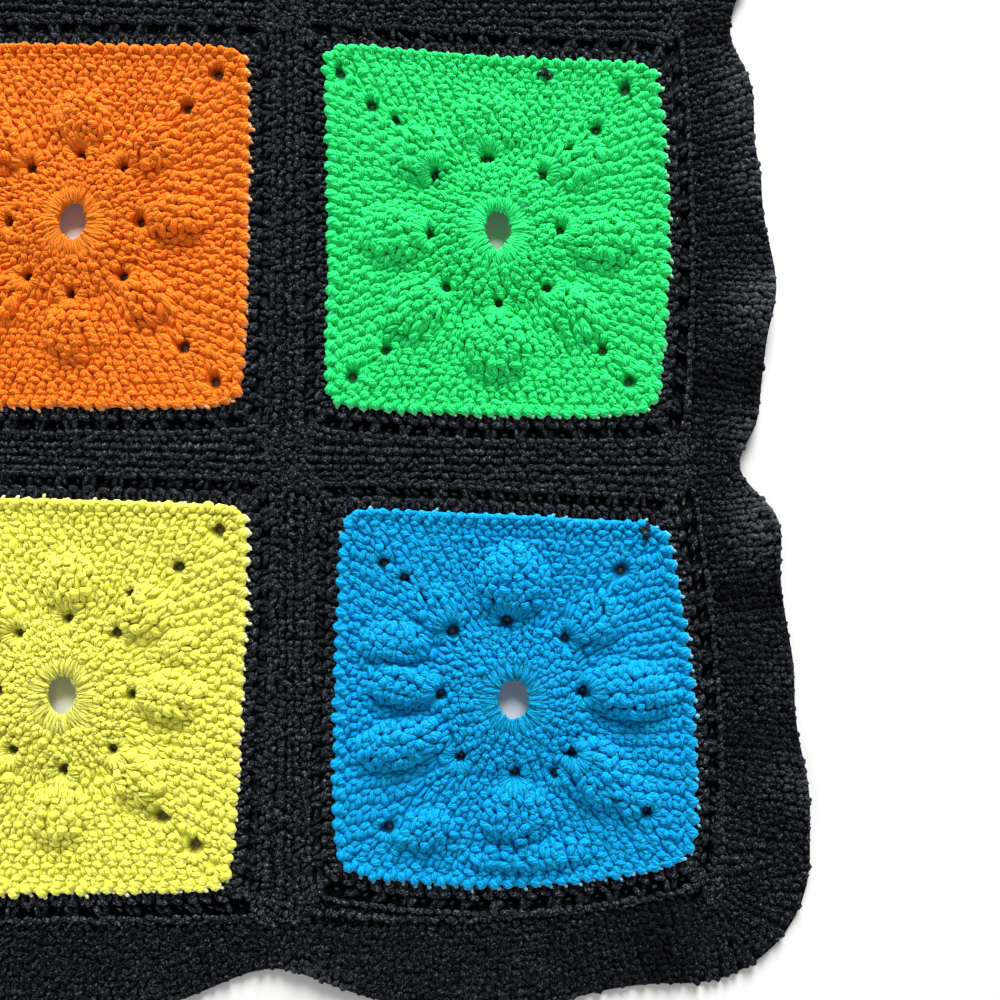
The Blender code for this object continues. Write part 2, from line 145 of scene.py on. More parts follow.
RING_HOLE = {"green": (6.0, 9.7), "blue": (7.2, 9.0), "orange": (6.9, 9.1), "yellow": (6.9, 9.1)}  # half sizes
COLLAR = {"green": 5.6, "blue": 4.6, "orange": 4.4, "yellow": 4.4}  # how far the middle rounds stand up

YARN = {  # yarn: colour of the yarn, tint of the worn tips at the edge and, for the bright yarns, of the painted highlights on the ply crests
    "orange": ((1.0, 0.190, 0.009), (1.0, 0.66, 0.36)),
    "green": ((0.014, 0.85, 0.185), (0.50, 0.98, 0.64)),
    "yellow": ((0.88, 0.87, 0.095), (1.0, 1.0, 0.72)),
    "blue": ((0.0005, 0.305, 0.64), (0.26, 0.66, 0.88)),
    "black": ((0.0015, 0.0021, 0.0032), (0.10, 0.10, 0.11)),
}


# ---------------------------------------------------------------- layout functions
def turned(p):
    return (-p[0], -p[1])


def crossing(row, col):
    if (row, col) in CROSSINGS:
        return CROSSINGS[(row, col)]
    return turned(CROSSINGS[(3 - row, 3 - col)])


def patch(corners, bows, a, b):
    """A point of a four-sided field with bowed edges, a and b running from -1 to 1."""
    (tlx, tly), (trx, try_), (brx, bry), (blx, bly) = corners
    top, right, bottom, left = bows
    u, v = (a + 1) / 2, (b + 1) / 2
    x = (1 - u) * (1 - v) * blx + u * (1 - v) * brx + (1 - u) * v * tlx + u * v * trx
    y = (1 - u) * (1 - v) * bly + u * (1 - v) * bry + (1 - u) * v * tly + u * v * try_
    hump_a, hump_b = 1 - a * a, 1 - b * b
    x = x + hump_b * (u * right - (1 - u) * left)
    y = y + hump_a * (v * top - (1 - v) * bottom)
    return x, y


def outer_bow(side, index):
    if side in ("left", "top"):
        side, index = {"left": "right", "top": "bottom"}[side], 2 - index
    return BOWS[(side, index)]


def cell(row, col):
    """Corners and bows of a whole square, out to the joints."""
    corners = (crossing(row - 1, col - 1), crossing(row - 1, col), crossing(row, col), crossing(row, col - 1))
    bows = (
        outer_bow("top", col - 1) if row == 1 else 0.0,
        outer_bow("right", row - 1) if col == 3 else 0.0,
        outer_bow("bottom", col - 1) if row == 3 else 0.0,
        outer_bow("left", row - 1) if col == 1 else 0.0,
    )
    return corners, bows


def smooth_rows(rows, s):
    rows = sorted(rows)
    if s <= rows[0][0]:
        return rows[0][1]
    if s >= rows[-1][0]:
        return rows[-1][1]
    for (s0, v0), (s1, v1) in zip(rows, rows[1:]):
        if s0 <= s <= s1:
            t = (s - s0) / (s1 - s0)
            return v0 + (v1 - v0) * t * t * (3 - 2 * t)


def reach(side, s):
    r = smooth_rows(BULGES[side], s)
    for place, depth, spread in PINCHES[side]:
        r -= depth * math.exp(-(((s - place) / spread) ** 2))
    return r


def lift(side, s):
    return sum(height * math.exp(-(((s - place) / spread) ** 2)) for place, height, spread in FOLDS[side])


def fan(side, s):
    lines = sorted([-500.0, 500.0] + [p for p, d, w in PINCHES[side]])
    for lo, hi in zip(lines, lines[1:]):
        if lo <= s <= hi:
            lo, hi = max(lo, -325.0), min(hi, 325.0)
            t = (s - lo) / (hi - lo)
            return -RIB_FAN * math.sin(TAU * t) * (1.0 if abs(lo) < 320 and abs(hi) < 320 else 0.7)
    return 0.0


def side_root(side, t):
    k = min(int(t), 2)
    f = t - k
    if side == "right":
        return patch(*cell(k + 1, 3), 1, 1 - 2 * f)
    return patch(*cell(3, 3 - k), 1 - 2 * f, -1)


def edge_point(side, root):
    if side == "right":
        s = root[1] + fan("right", root[1])
        return reach("right", s), s
    s = root[0] + fan("bottom", root[0])
    return s, -reach("bottom", s)


def corner_point(corner, angle):
    if corner == "lower_right":
        right, low = reach("right", -302.0), reach("bottom", 302.0)
        cx, cy = right - BORDER_CORNER, -(low - BORDER_CORNER)
        return cx + BORDER_CORNER * math.cos(angle), cy - BORDER_CORNER * math.sin(angle)
    if corner == "upper_right":
        return turned(corner_point("lower_left", angle))
    right, low = reach("right", 302.0), reach("bottom", -302.0)
    cx, cy = -(right - BORDER_CORNER), -(low - BORDER_CORNER)
    return cx - BORDER_CORNER * math.sin(angle), cy - BORDER_CORNER * math.cos(angle)


def border_lines(side, n=36, n_corner=16):
    """Root and outer points along the right or the bottom side, clockwise, with the outer lift."""
    out = []
    upper = "upper_right" if side == "right" else "lower_right"
    lower = "lower_right" if side == "right" else "lower_left"
    for k in range(n_corner):
        angle = math.pi / 4 + (math.pi / 4) * k / n_corner
        out.append((*side_root(side, 0.0), *corner_point(upper, angle), 0.0))
    for k in range(3 * n + 1):
        t = k / n
        root = side_root(side, t)
        outer = edge_point(side, root)
        start, end = corner_point(upper, math.pi / 2), corner_point(lower, 0.0)
        along = 1 if side == "right" else 0
        limit_hi, limit_lo = start[along], end[along]
        blend_hi, blend_lo = max(0.0, 1 - t / 0.28), max(0.0, 1 - (3 - t) / 0.28)
        s = min(max(outer[along], limit_lo), limit_hi)
        s += (limit_hi - s) * blend_hi ** 1.5 + (limit_lo - s) * blend_lo ** 1.5
        outer = (reach("right", s), s) if side == "right" else (s, -reach("bottom", s))
        if blend_hi > 0:
            outer = tuple(outer[i] + (start[i] - outer[i]) * blend_hi ** 1.5 for i in (0, 1))
        if blend_lo > 0:
            outer = tuple(outer[i] + (end[i] - outer[i]) * blend_lo ** 1.5 for i in (0, 1))
        out.append((*root, *outer, lift(side, s)))
    for k in range(1, n_corner + 1):
        angle = (math.pi / 4) * k / n_corner
        out.append((*side_root(side, 3.0), *corner_point(lower, angle), 0.0))
    return np.array(out)


# ---------------------------------------------------------------- a bright square as a field
def unit(x, y):
    d = np.maximum(np.hypot(x, y), 1e-9)
    return x / d, y / d


class Square:
    """One bright centre: its outline, its holes and its raised clusters."""

    def __init__(self, row, col):
        self.row, self.col, self.turn = row, col, False
        found = [r for r in CENTRES if (r[0], r[1]) == (row, col)]
        if found:
            _, _, self.yarn, tl, tr, br, bl, self.bows = found[0]
            self.corners = (tl, tr, br, bl)
        else:
            _, _, self.yarn, tl, tr, br, bl, b = [r for r in CENTRES if (4 - r[0], 4 - r[1]) == (row, col)][0]
            self.corners = (turned(br), turned(bl), turned(tl), turned(tr))
            self.bows = (b[2], b[3], b[0], b[1])
            self.turn = True
        self.mid = patch(self.corners, self.bows, 0.0, 0.0)
        self.phases = rng.random(4) * TAU
        sign = -1 if self.turn else 1
        self.holes = []
        for a, b, w, h in HOLES[self.yarn]:
            x, y = patch(self.corners, self.bows, sign * a, sign * b)
            self.holes.append((x, y, w, h))
        self.mounds = []
        for a, b, along, across, height, direction in MOUNDS[self.yarn]:
            x, y = patch(self.corners, self.bows, sign * a, sign * b)
            d = math.radians(direction)
            self.mounds.append((x, y, along, across, height, math.cos(d), math.sin(d)))
        (tlx, tly), (trx, try_), (brx, bry), (blx, bly) = self.corners
        self.half = ((trx - tlx + brx - blx) / 4, (tly - bly + try_ - bry) / 4)

    def edge(self, phi, n=20.0):
        c, s = np.cos(phi), np.sin(phi)
        r = (np.abs(c) ** n + np.abs(s) ** n) ** (-1 / n)
        return patch(self.corners, self.bows, r * c, r * s)

    def plain(self, rho, phi):
        """The place at a radius of 0 to 1 and an angle, round inside and square at the edge."""
        t = np.clip((rho - 0.40) / 0.48, 0, 1)
        n = 2 + 18 * t * t * (3 - 2 * t)
        c, s = np.cos(phi), np.sin(phi)
        r = rho * (np.abs(c) ** n + np.abs(s) ** n) ** (-1 / n)
        return patch(self.corners, self.bows, r * c, r * s)

    def place(self, rho, phi):
        x, y = self.plain(rho, phi)
        hand = np.clip((1 - rho) * 5, 0, 1) * np.clip((rho - 0.16) * 6, 0, 1)
        p = self.phases
        wx = 0.75 * np.sin(0.13 * x + 0.09 * y + p[0]) + 0.55 * np.sin(0.33 * y - 0.21 * x + p[1])
        wy = 0.75 * np.sin(0.12 * y - 0.10 * x + p[2]) + 0.55 * np.sin(0.35 * x + 0.16 * y + p[3])
        x, y = x + wx * hand, y + wy * hand
        for hx, hy, w, h in self.holes:
            dx, dy = x - hx, y - hy
            q = np.hypot(dx / w, dy / h)
            fade = np.clip(1.6 - q / 2.6, 0, 1)
            grow = np.sqrt(q * q + 0.85 * fade) / np.maximum(q, 0.08)
            grow = np.minimum(grow, 6.0)
            x, y = hx + dx * grow, hy + dy * grow
        return x, y

    def hill(self, x, y):
        """How far a place lies on a raised cluster, from 0 to 1."""
        best = np.zeros_like(x)
        for mx, my, along, across, height, c, s in self.mounds:
            dx, dy = x - mx, y - my
            u, v = (dx * c + dy * s) / along, (-dx * s + dy * c) / across
            best = np.maximum(best, np.clip(1.5 - 1.3 * (u * u + v * v), 0, 1))
        return best

    def relief(self, x, y):
        top = np.zeros_like(x)
        for mx, my, along, across, height, c, s in self.mounds:
            dx, dy = x - mx, y - my
            u, v = (dx * c + dy * s) / along, (-dx * s + dy * c) / across
            d = u * u + v * v
            rise = np.clip(1 - d / 1.35, 0, 1)
            top = np.maximum(top, height * rise * rise * (3 - 2 * rise))
        # the middle rounds stand up a little and dip again at the open ring
        r = np.hypot((x - self.mid[0]), (y - self.mid[1]) * 0.94)
        collar = COLLAR[self.yarn] * np.clip(1 - (r / 38.0) ** 2, 0, 1) ** 1.15 * (1 - 0.14 * np.exp(-(r / 11.0) ** 2))
        top = np.maximum(top, collar)
        # soft waves that cloth worked by hand has, dying out towards the straight edge rounds
        wave = 0.5 * np.sin(x / 9.0 + y / 15.0 + self.row) * np.sin(y / 11.0 - x / 21.0 + self.col)
        dip = np.zeros_like(x)
        for hx, hy, w, h in self.holes:
            q = np.hypot((x - hx) / (w + 2.5), (y - hy) / (h + 2.5))
            dip = np.minimum(dip, -0.6 * np.exp(-q * q))
        return top + wave * 0.7 + 0.5 + dip * np.clip(1.0 + top * 0.3, 1, 2)


SQUARES = {(r, c): Square(r, c) for r in (1, 2, 3) for c in (1, 2, 3)}


# ---------------------------------------------------------------- loops of yarn
FORMS = {  # form: sides, places of the rings along the loop, their girth, where its ends are
    "fine": (5, (-0.66, 0.0, 0.66), (0.84, 1.0, 0.84), 0.90),
    "tip": (7, (-0.66, 0.0, 0.62), (0.84, 1.0, 0.78), 0.95),
    "plain": (4, (-0.52, 0.52), (0.95, 0.95), 0.95),
}


def form_mesh(form):
    """Faces of one loop and the places of its corners on the yarn: along it and around it."""
    sides, places, girths, _ = FORMS[form]
    n = len(places)
    faces, uvs = [], []
    for r in range(n - 1):
        u0, u1 = (places[r] + 1) / 2, (places[r + 1] + 1) / 2
        for i in range(sides):
            j = (i + 1) % sides
            v0, v1 = i / sides, (i + 1) / sides
            a, b, c, d = r * sides + i, r * sides + j, (r + 1) * sides + j, (r + 1) * sides + i
            faces += [(a, b, c), (a, c, d)]
            uvs += [((u0, v0), (u0, v1), (u1, v1)), ((u0, v0), (u1, v1), (u1, v0))]
    start, end = n * sides, n * sides + 1
    u0, u1 = (places[0] + 1) / 2, (places[-1] + 1) / 2
    for i in range(sides):
        j = (i + 1) % sides
        v0, v1 = i / sides, (i + 1) / sides
        faces += [(start, j, i), (end, (n - 1) * sides + i, (n - 1) * sides + j)]
        uvs += [((0.01, (v0 + v1) / 2), (u0, v1), (u0, v0)), ((0.99, (v0 + v1) / 2), (u1, v0), (u1, v1))]
    return np.array(faces), np.array(uvs)


class Loops:
    """Collects loops of yarn that lie on a surface, and makes one mesh of them."""

    def __init__(self):
        self.rows = []

    def add(self, x, y, dx, dy, length, width, height, up, bow=0.0, dip=0.6, pitch=0.0, sway=1.0):
        """Loops centred at x, y, pointing along dx, dy, with half sizes; up is how high their axes
        lie over the cloth, bow bends the ends sideways, dip bends them down, and pitch raises the
        far end."""
        n = len(x)
        wide = [np.broadcast_to(np.asarray(v, float), (n,)) for v in (x, y, dx, dy, length, width, height, up, bow, dip, pitch)]
        row = np.stack(wide, 1).copy()
        sway = np.broadcast_to(np.asarray(sway, float), (n,))
        turn = rng.normal(0, math.radians(9.0), n) * sway
        c, s = np.cos(turn), np.sin(turn)
        row[:, 2], row[:, 3] = row[:, 2] * c - row[:, 3] * s, row[:, 2] * s + row[:, 3] * c
        row[:, 0] += rng.normal(0, 0.26, n) * sway
        row[:, 1] += rng.normal(0, 0.26, n) * sway
        row[:, 4] *= 1 + rng.normal(0, 0.08, n) * np.minimum(sway, 1.5)
        row[:, 5] *= 1 + rng.normal(0, 0.07, n) * np.minimum(sway, 1.5)
        row[:, 7] += rng.normal(0, 0.20, n) * np.minimum(sway, 1.5)
        self.rows.append(row)

    def keep(self, test):
        self.rows = [r[test(r[:, 0], r[:, 1])] for r in self.rows]

    def mesh(self, name, form, surface, raised=None, span=None):
        """raised gives each loop's height over the surface there and the slope in x and in y, and
        span how much of the yarn's colouring along the loop is used."""
        row = np.concatenate(self.rows)
        x, y, dx, dy, length, width, height, up, bow, dip, pitch = row.T
        e = 0.6
        z = surface(x, y)
        gx = (surface(x + e, y) - surface(x - e, y)) / (2 * e)
        gy = (surface(x, y + e) - surface(x, y - e)) / (2 * e)
        if raised is not None:
            z, gx, gy = z + raised[:, 0], gx + raised[:, 1], gy + raised[:, 2]
        g = np.hypot(gx, gy)
        soft = np.minimum(1, 1.5 / np.maximum(g, 1e-6))
        gx, gy = gx * soft, gy * soft
        dx, dy = unit(dx, dy)
        along, across = np.abs(gx * dx + gy * dy), np.abs(gx * dy - gy * dx)
        length, width = length * (1 + 0.35 * along), width * (1 + 0.45 * across)
        t = np.stack([dx, dy, gx * dx + gy * dy + pitch], 1)
        t /= np.linalg.norm(t, axis=1, keepdims=True)
        n = np.stack([-gx, -gy, np.ones_like(gx)], 1)
        s = np.cross(n, t)
        s /= np.linalg.norm(s, axis=1, keepdims=True)
        n = np.cross(t, s)
        c = np.stack([x, y, z], 1) + n * up[:, None]
        sides, places, girths, end = FORMS[form]
        points = []
        for place, girth in zip(places, girths):
            mid = c + t * (length * place)[:, None] + s * (bow * place ** 2)[:, None] - n * (dip * place ** 2)[:, None]
            for i in range(sides):
                a = TAU * i / sides + 0.3
                points.append(mid + s * (math.cos(a) * width * girth)[:, None] + n * (math.sin(a) * height * girth)[:, None])
        for place in (-end, end):
            points.append(c + t * (length * place)[:, None] + s * (bow * place ** 2)[:, None] - n * (dip * place ** 2)[:, None])
        points = np.stack(points, 1)  # loops, points of a loop, xyz
        points[..., 2] = np.maximum(points[..., 2], 0.1)
        count, per = points.shape[:2]
        faces, uvs = form_mesh(form)
        every = (faces[None] + (np.arange(count) * per)[:, None, None]).reshape(-1, 3)
        places_uv = np.tile(uvs.reshape(-1, 2), (count, 1))
        ply = places_uv + np.repeat(np.arange(count), 3 * len(faces))[:, None] * [0, 1]
        if span is not None:
            ply[:, 0] *= np.repeat(span, 3 * len(faces))
        return mesh_object(name, points.reshape(-1, 3), every, (ply, places_uv))


def mesh_object(name, points, triangles, uv=None, walls=0):
    """A mesh of triangles; the last ones, as many as walls says, are shaded flat."""
    mesh = bpy.data.meshes.new(name)
    n = len(triangles)
    mesh.vertices.add(len(points))
    mesh.vertices.foreach_set("co", (np.asarray(points) * MM).astype(np.float32).ravel())
    mesh.loops.add(3 * n)
    mesh.loops.foreach_set("vertex_index", np.asarray(triangles, np.int32).ravel())
    mesh.polygons.add(n)
    mesh.polygons.foreach_set("loop_start", np.arange(0, 3 * n, 3, dtype=np.int32))
    mesh.polygons.foreach_set("use_smooth", np.arange(n) < n - walls)
    mesh.update(calc_edges=True)
    if uv is not None:
        for layer, values in zip(("Ply", "OFBake"), uv):
            mesh.uv_layers.new(name=layer).data.foreach_set("uv", values.astype(np.float32).ravel())
    mesh.validate()
    obj = bpy.data.objects.new(name, mesh)
    bpy.context.scene.collection.objects.link(obj)
    return obj


# ---------------------------------------------------------------- closed sheets of cloth
def inside(px, py, loop):
    """Which points lie inside a closed outline."""
    result = np.zeros(len(px), bool)
    x0, y0 = loop[:, 0], loop[:, 1]
    x1, y1 = np.roll(x0, -1), np.roll(y0, -1)
    for a, b, c, d in zip(x0, y0, x1, y1):
        if b != d:
            crosses = ((b > py) != (d > py)) & (px < (c - a) * (py - b) / (d - b) + a)
            result ^= crosses
    return result


def sheet_mesh(name, outline, holes, top, under, step=6.0):
    """A closed sheet between two height functions, with holes right through."""
    loops = [np.asarray(outline, float)] + [np.asarray(h, float) for h in holes]
    lo, hi = loops[0].min(0), loops[0].max(0)
    gx, gy = np.meshgrid(np.arange(lo[0], hi[0], step), np.arange(lo[1], hi[1], step))
    gx = gx + (np.arange(gx.shape[0])[:, None] % 2) * step / 2
    px, py = gx.ravel(), gy.ravel()
    ok = inside(px, py, loops[0])
    for h in loops[1:]:
        ok &= ~inside(px, py, h)
    px, py = px[ok], py[ok]
    edge = np.concatenate(loops)
    near = np.full(len(px), 1e9)
    for ex, ey in edge:
        near = np.minimum(near, (px - ex) ** 2 + (py - ey) ** 2)
    px, py = px[near > (step * 0.45) ** 2], py[near > (step * 0.45) ** 2]
    points = [Vector(p) for p in edge] + [Vector(p) for p in zip(px, py)]
    edges, start = [], 0
    for loop in loops:
        n = len(loop)
        edges += [(start + i, start + (i + 1) % n) for i in range(n)]
        start += n
    out = delaunay_2d_cdt(points, edges, [], 0, 1e-4)
    flat = np.array([tuple(v) for v in out[0]])
    faces = np.array([tuple(f) for f in out[2]])
    mid = flat[faces].mean(1)
    ok = inside(mid[:, 0], mid[:, 1], loops[0])
    for h in loops[1:]:
        ok &= ~inside(mid[:, 0], mid[:, 1], h)
    faces = faces[ok]
    p = flat[faces]
    area = (p[:, 1, 0] - p[:, 0, 0]) * (p[:, 2, 1] - p[:, 0, 1]) - (p[:, 1, 1] - p[:, 0, 1]) * (p[:, 2, 0] - p[:, 0, 0])
    faces[area < 0] = faces[area < 0][:, ::-1]
    used, faces = np.unique(faces, return_inverse=True)
    faces = faces.reshape(-1, 3)
    flat = flat[used]
    n = len(flat)
    sides = {}
    for f in faces:
        for i in range(3):
            a, b = int(f[i]), int(f[(i + 1) % 3])
            if (b, a) in sides:
                del sides[(b, a)]
            else:
                sides[(a, b)] = True
    walls = []
    for a, b in sides:
        walls += [(a, a + n, b + n), (a, b + n, b)]
    x, y = flat[:, 0], flat[:, 1]
    points = np.concatenate([np.stack([x, y, top(x, y)], 1), np.stack([x, y, under(x, y)], 1)])
    triangles = np.concatenate([faces, faces[:, ::-1] + n, np.array(walls).reshape(-1, 3)])
    return mesh_object(name, points, triangles, walls=len(walls)), float(np.abs(area).sum() / 2) * 1e-6


def oval(x, y, w, h, n=10):
    a = np.arange(n) * TAU / n
    return np.stack([x + w * np.cos(a), y + h * np.sin(a)], 1)


# ---------------------------------------------------------------- materials
def link(tree, a, b):
    tree.links.new(a, b)


def node(tree, kind, **values):
    made = tree.nodes.new(kind)
    for key, value in values.items():
        setattr(made, key, value)
    return made


def maths(tree, operation, a, b=None, clamp=False):
    made = node(tree, "ShaderNodeMath", operation=operation, use_clamp=clamp)
    for i, v in enumerate((a, b)):
        if v is None:
            continue
        if isinstance(v, (int, float)):
            made.inputs[i].default_value = v
        else:
            link(tree, v, made.inputs[i])
    return made.outputs[0]


def mix(tree, factor, a, b):
    made = node(tree, "ShaderNodeMix", data_type="RGBA")
    for socket, v in ((made.inputs[0], factor), (made.inputs[6], a), (made.inputs[7], b)):
        if isinstance(v, (int, float)):
            socket.default_value = v
        elif isinstance(v, tuple):
            socket.default_value = (*v, 1.0)
        else:
            link(tree, v, socket)
    return made.outputs[2]


def scaled(colour, k):
    return tuple(min(1.0, c * k) for c in colour)


def noise(tree, where, scale, detail=2.0, rough=0.55, bend=0.0):
    made = node(tree, "ShaderNodeTexNoise")
    made.inputs["Distortion"].default_value = bend
    made.inputs["Scale"].default_value = scale
    made.inputs["Detail"].default_value = detail
    made.inputs["Roughness"].default_value = rough
    link(tree, where, made.inputs["Vector"])
    return made.outputs["Fac"]


# painted shade where the border's cloth turns away from the light, between its folds, and a little over the whole lower
# border: place along the border, half-width, strength
HOLLOW_SHADE = {
    "side": [(0.101, 0.012, 0.85), (-0.078, 0.019, 0.95), (-0.181, 0.014, 0.90), (-0.207, 0.030, 0.35), (-0.251, 0.016, 0.60)],
    "low": [(0.283, 0.026, 0.80), (0.130, 2.000, 0.25)],
}


def yarn_material(yarn, kind, border="side"):
    """kind is loops, ribs, tips, ends or cloth. Loops and ribs show the plies of the yarn, tips pale
    at their far end, ends are pale all over, and cloth is what lies in the gaps under them."""
    colour, pale = YARN[yarn]
    dark = yarn == "black"
    if kind == "ribs":
        colour = scaled(colour, 0.7)
    mat = bpy.data.materials.new(f"yarn_{yarn}_{kind}" + ("_low" if border == "low" else ""))
    mat.use_nodes = True
    tree = mat.node_tree
    shader = tree.nodes["Principled BSDF"]
    where = node(tree, "ShaderNodeTexCoord").outputs["Object"]
    fuzz = noise(tree, where, 900.0, 2.0, 0.6, 0.8)
    cloud = noise(tree, where, 55.0, 2.0)
    if kind == "cloth":
        # painted shade: the black cloth in the gaps under the loops is painted at 0.2 to 0.4 of its yarn's colour;
        # bright cloth keeps its yarn's colour, with a random tone
        low, high = (0.2, 0.4) if dark else (0.88, 1.1)
        base = mix(tree, cloud, scaled(colour, low), scaled(colour, high))
        lumps = noise(tree, where, 330.0, 1.0, 0.5, 0.6)
        height = maths(tree, "ADD", maths(tree, "MULTIPLY", fuzz, 0.7), maths(tree, "MULTIPLY", lumps, 1.6))
        if dark:
            # painted glints: bright specks of fibre catching the light on the black cloth
            specks = noise(tree, where, 900.0, 1.0, 0.5, 1.0)
            glint_specks = maths(tree, "MULTIPLY", maths(tree, "SUBTRACT", specks, 0.56, True), 9.0, True)
            base = mix(tree, glint_specks, base, (0.055, 0.064, 0.080))
            # painted shade: the cloth is painted nearly black where it lies low, in the open mesh
            place = node(tree, "ShaderNodeSeparateXYZ")
            link(tree, where, place.inputs[0])
            depth_shade = maths(tree, "MULTIPLY", maths(tree, "SUBTRACT", 0.0017, place.outputs[2], True), 4000.0, True)
            base = mix(tree, depth_shade, base, scaled(colour, 0.2))
    else:
        uv = node(tree, "ShaderNodeUVMap", uv_map="Ply")
        parts = node(tree, "ShaderNodeSeparateXYZ")
        link(tree, uv.outputs[0], parts.inputs[0])
        u, v = parts.outputs[0], parts.outputs[1]
        wander = noise(tree, where, 260.0, 1.0)
        turns = maths(tree, "ADD", maths(tree, "MULTIPLY", u, 2.2 * TAU), maths(tree, "MULTIPLY", v, 6 * TAU))
        turns = maths(tree, "ADD", turns, maths(tree, "MULTIPLY", wander, 8.0))
        ply = maths(tree, "ABSOLUTE", maths(tree, "SINE", maths(tree, "MULTIPLY", turns, 0.5)))
        # fibres run along the strand and turn with it
        lie = node(tree, "ShaderNodeCombineXYZ")
        link(tree, maths(tree, "MULTIPLY", u, 3.8), lie.inputs[0])
        link(tree, maths(tree, "ADD", maths(tree, "MULTIPLY", v, 12.0), maths(tree, "MULTIPLY", u, 4.0)), lie.inputs[1])
        fibre = noise(tree, lie.outputs[0], 1.0, 3.0, 0.7, 0.8)
        strong = {"green": 1.0, "orange": 0.65, "blue": 0.60, "yellow": 0.50}.get(yarn, 0.0)
        # painted shade in the grooves between the plies and painted light on their ridges
        groove_shade = 0.84 if dark else 1 - 0.38 * strong
        body = mix(tree, ply, scaled(colour, groove_shade), scaled(colour, 1.02 if dark else 1.20))
        base = mix(tree, maths(tree, "MULTIPLY", maths(tree, "SUBTRACT", cloud, 0.42, True), 0.8), body, scaled(colour, 0.86))
        low = maths(tree, "MULTIPLY", maths(tree, "SUBTRACT", 0.50 if dark else 0.47, fibre, True), 7.0, True)
        base = mix(tree, low, base, scaled(colour, 0.45 if dark else 1 - 0.30 * strong))
        high = maths(tree, "MULTIPLY", maths(tree, "SUBTRACT", fibre, 0.60 if dark else 0.56, True), 8.0, True)
        crest_highlight = maths(tree, "MULTIPLY", maths(tree, "SUBTRACT", ply, 0.65 if dark else 0.45, True), 2.5 if dark else 1.8, True)
        if dark:
            specks = noise(tree, where, 900.0, 1.0, 0.5, 1.0)
            finest = noise(tree, where, 1500.0, 1.0, 0.5, 1.0)
            if kind == "ribs":
                # painted light: the yarn is painted a little paler where a fold lifts it, as a crest catches more light
                place = node(tree, "ShaderNodeSeparateXYZ")
                link(tree, where, place.inputs[0])
                worn_ends_and_fold_light = maths(tree, "MULTIPLY", maths(tree, "SUBTRACT", place.outputs[2], 0.0041, True), 300.0, True)
                grain = maths(tree, "MULTIPLY", maths(tree, "SUBTRACT", finest, 0.44, True), 7.0, True)
                base = mix(tree, worn_ends_and_fold_light, base, mix(tree, grain, (0.005, 0.006, 0.008), (0.096, 0.106, 0.128)))
            # painted glints: pale fibres that catch the light, light stripes on the ply crests and bright specks
            base = mix(tree, high, base, scaled((0.066, 0.077, 0.098), 0.16 if kind == "ribs" else 0.74))
            base = mix(tree, maths(tree, "MULTIPLY", crest_highlight, 0.14 if kind == "ribs" else 0.22), base, scaled((0.056, 0.066, 0.086), 0.24 if kind == "ribs" else 0.74))
            glint_specks = maths(tree, "MULTIPLY", maths(tree, "SUBTRACT", specks, 0.61, True), 14.0, True)
            base = mix(tree, glint_specks, base, scaled((0.110, 0.127, 0.160), 0.48 if kind == "ribs" else 0.92))
            glint_specks = maths(tree, "MULTIPLY", maths(tree, "SUBTRACT", finest, 0.62, True), 16.0, True)
            base = mix(tree, glint_specks, base, scaled((0.150, 0.172, 0.215), 0.72 if kind == "ribs" else 0.95))
            if kind == "ribs":
                across, run = (0, 1) if border == "side" else (1, 0)
                turned = maths(tree, "SIGN", place.outputs[across])
                if border == "low":
                    turned = maths(tree, "MULTIPLY", turned, -1.0)
                along = maths(tree, "MULTIPLY", place.outputs[run], turned)
                patchy = maths(tree, "ADD", maths(tree, "MULTIPLY", cloud, 0.9), 0.55)
                # painted shade: darker in the hollows between the folds, patchy with the cloud noise
                for at, wide, strength in HOLLOW_SHADE[border]:
                    away = maths(tree, "DIVIDE", maths(tree, "ABSOLUTE", maths(tree, "SUBTRACT", along, at)), wide)
                    dim = maths(tree, "MULTIPLY", maths(tree, "SUBTRACT", 1.0, away, True), strength)
                    base = mix(tree, maths(tree, "MULTIPLY", dim, patchy, True), base, (0.0012, 0.0014, 0.0018))
            if kind == "loops":
                # painted shade: low strands, those beside the open mesh, get little light
                place = node(tree, "ShaderNodeSeparateXYZ")
                link(tree, where, place.inputs[0])
                depth_shade = maths(tree, "MULTIPLY", maths(tree, "SUBTRACT", 0.0029, place.outputs[2], True), 900.0, True)
                base = mix(tree, depth_shade, base, scaled(colour, 0.6))
        else:
            # painted highlights: fibres that catch the light are painted brighter, and the ply crests are painted
            # towards the pale tint
            base = mix(tree, high, base, scaled(colour, 1.12))
            base = mix(tree, maths(tree, "MULTIPLY", crest_highlight, {"blue": 0.015, "orange": 0.03}.get(yarn, 0.06)), base, pale)
            shade = maths(tree, "MULTIPLY", maths(tree, "SUBTRACT", 0.52, fuzz, True), 3.0, True)
            base = mix(tree, shade, base, scaled(colour, 1 - 0.18 * strong))
        if kind == "tips":
            far = maths(tree, "MULTIPLY", maths(tree, "SUBTRACT", u, 0.64, True), 2.0, True)
            base = mix(tree, far, base, pale)
        if kind == "ends":
            base = mix(tree, 0.46, base, pale)
        height = maths(tree, "ADD", maths(tree, "MULTIPLY", ply, 0.35 if dark else 0.8), maths(tree, "MULTIPLY", fibre, 1.3))
    if not dark and kind in ("cloth", "loops"):
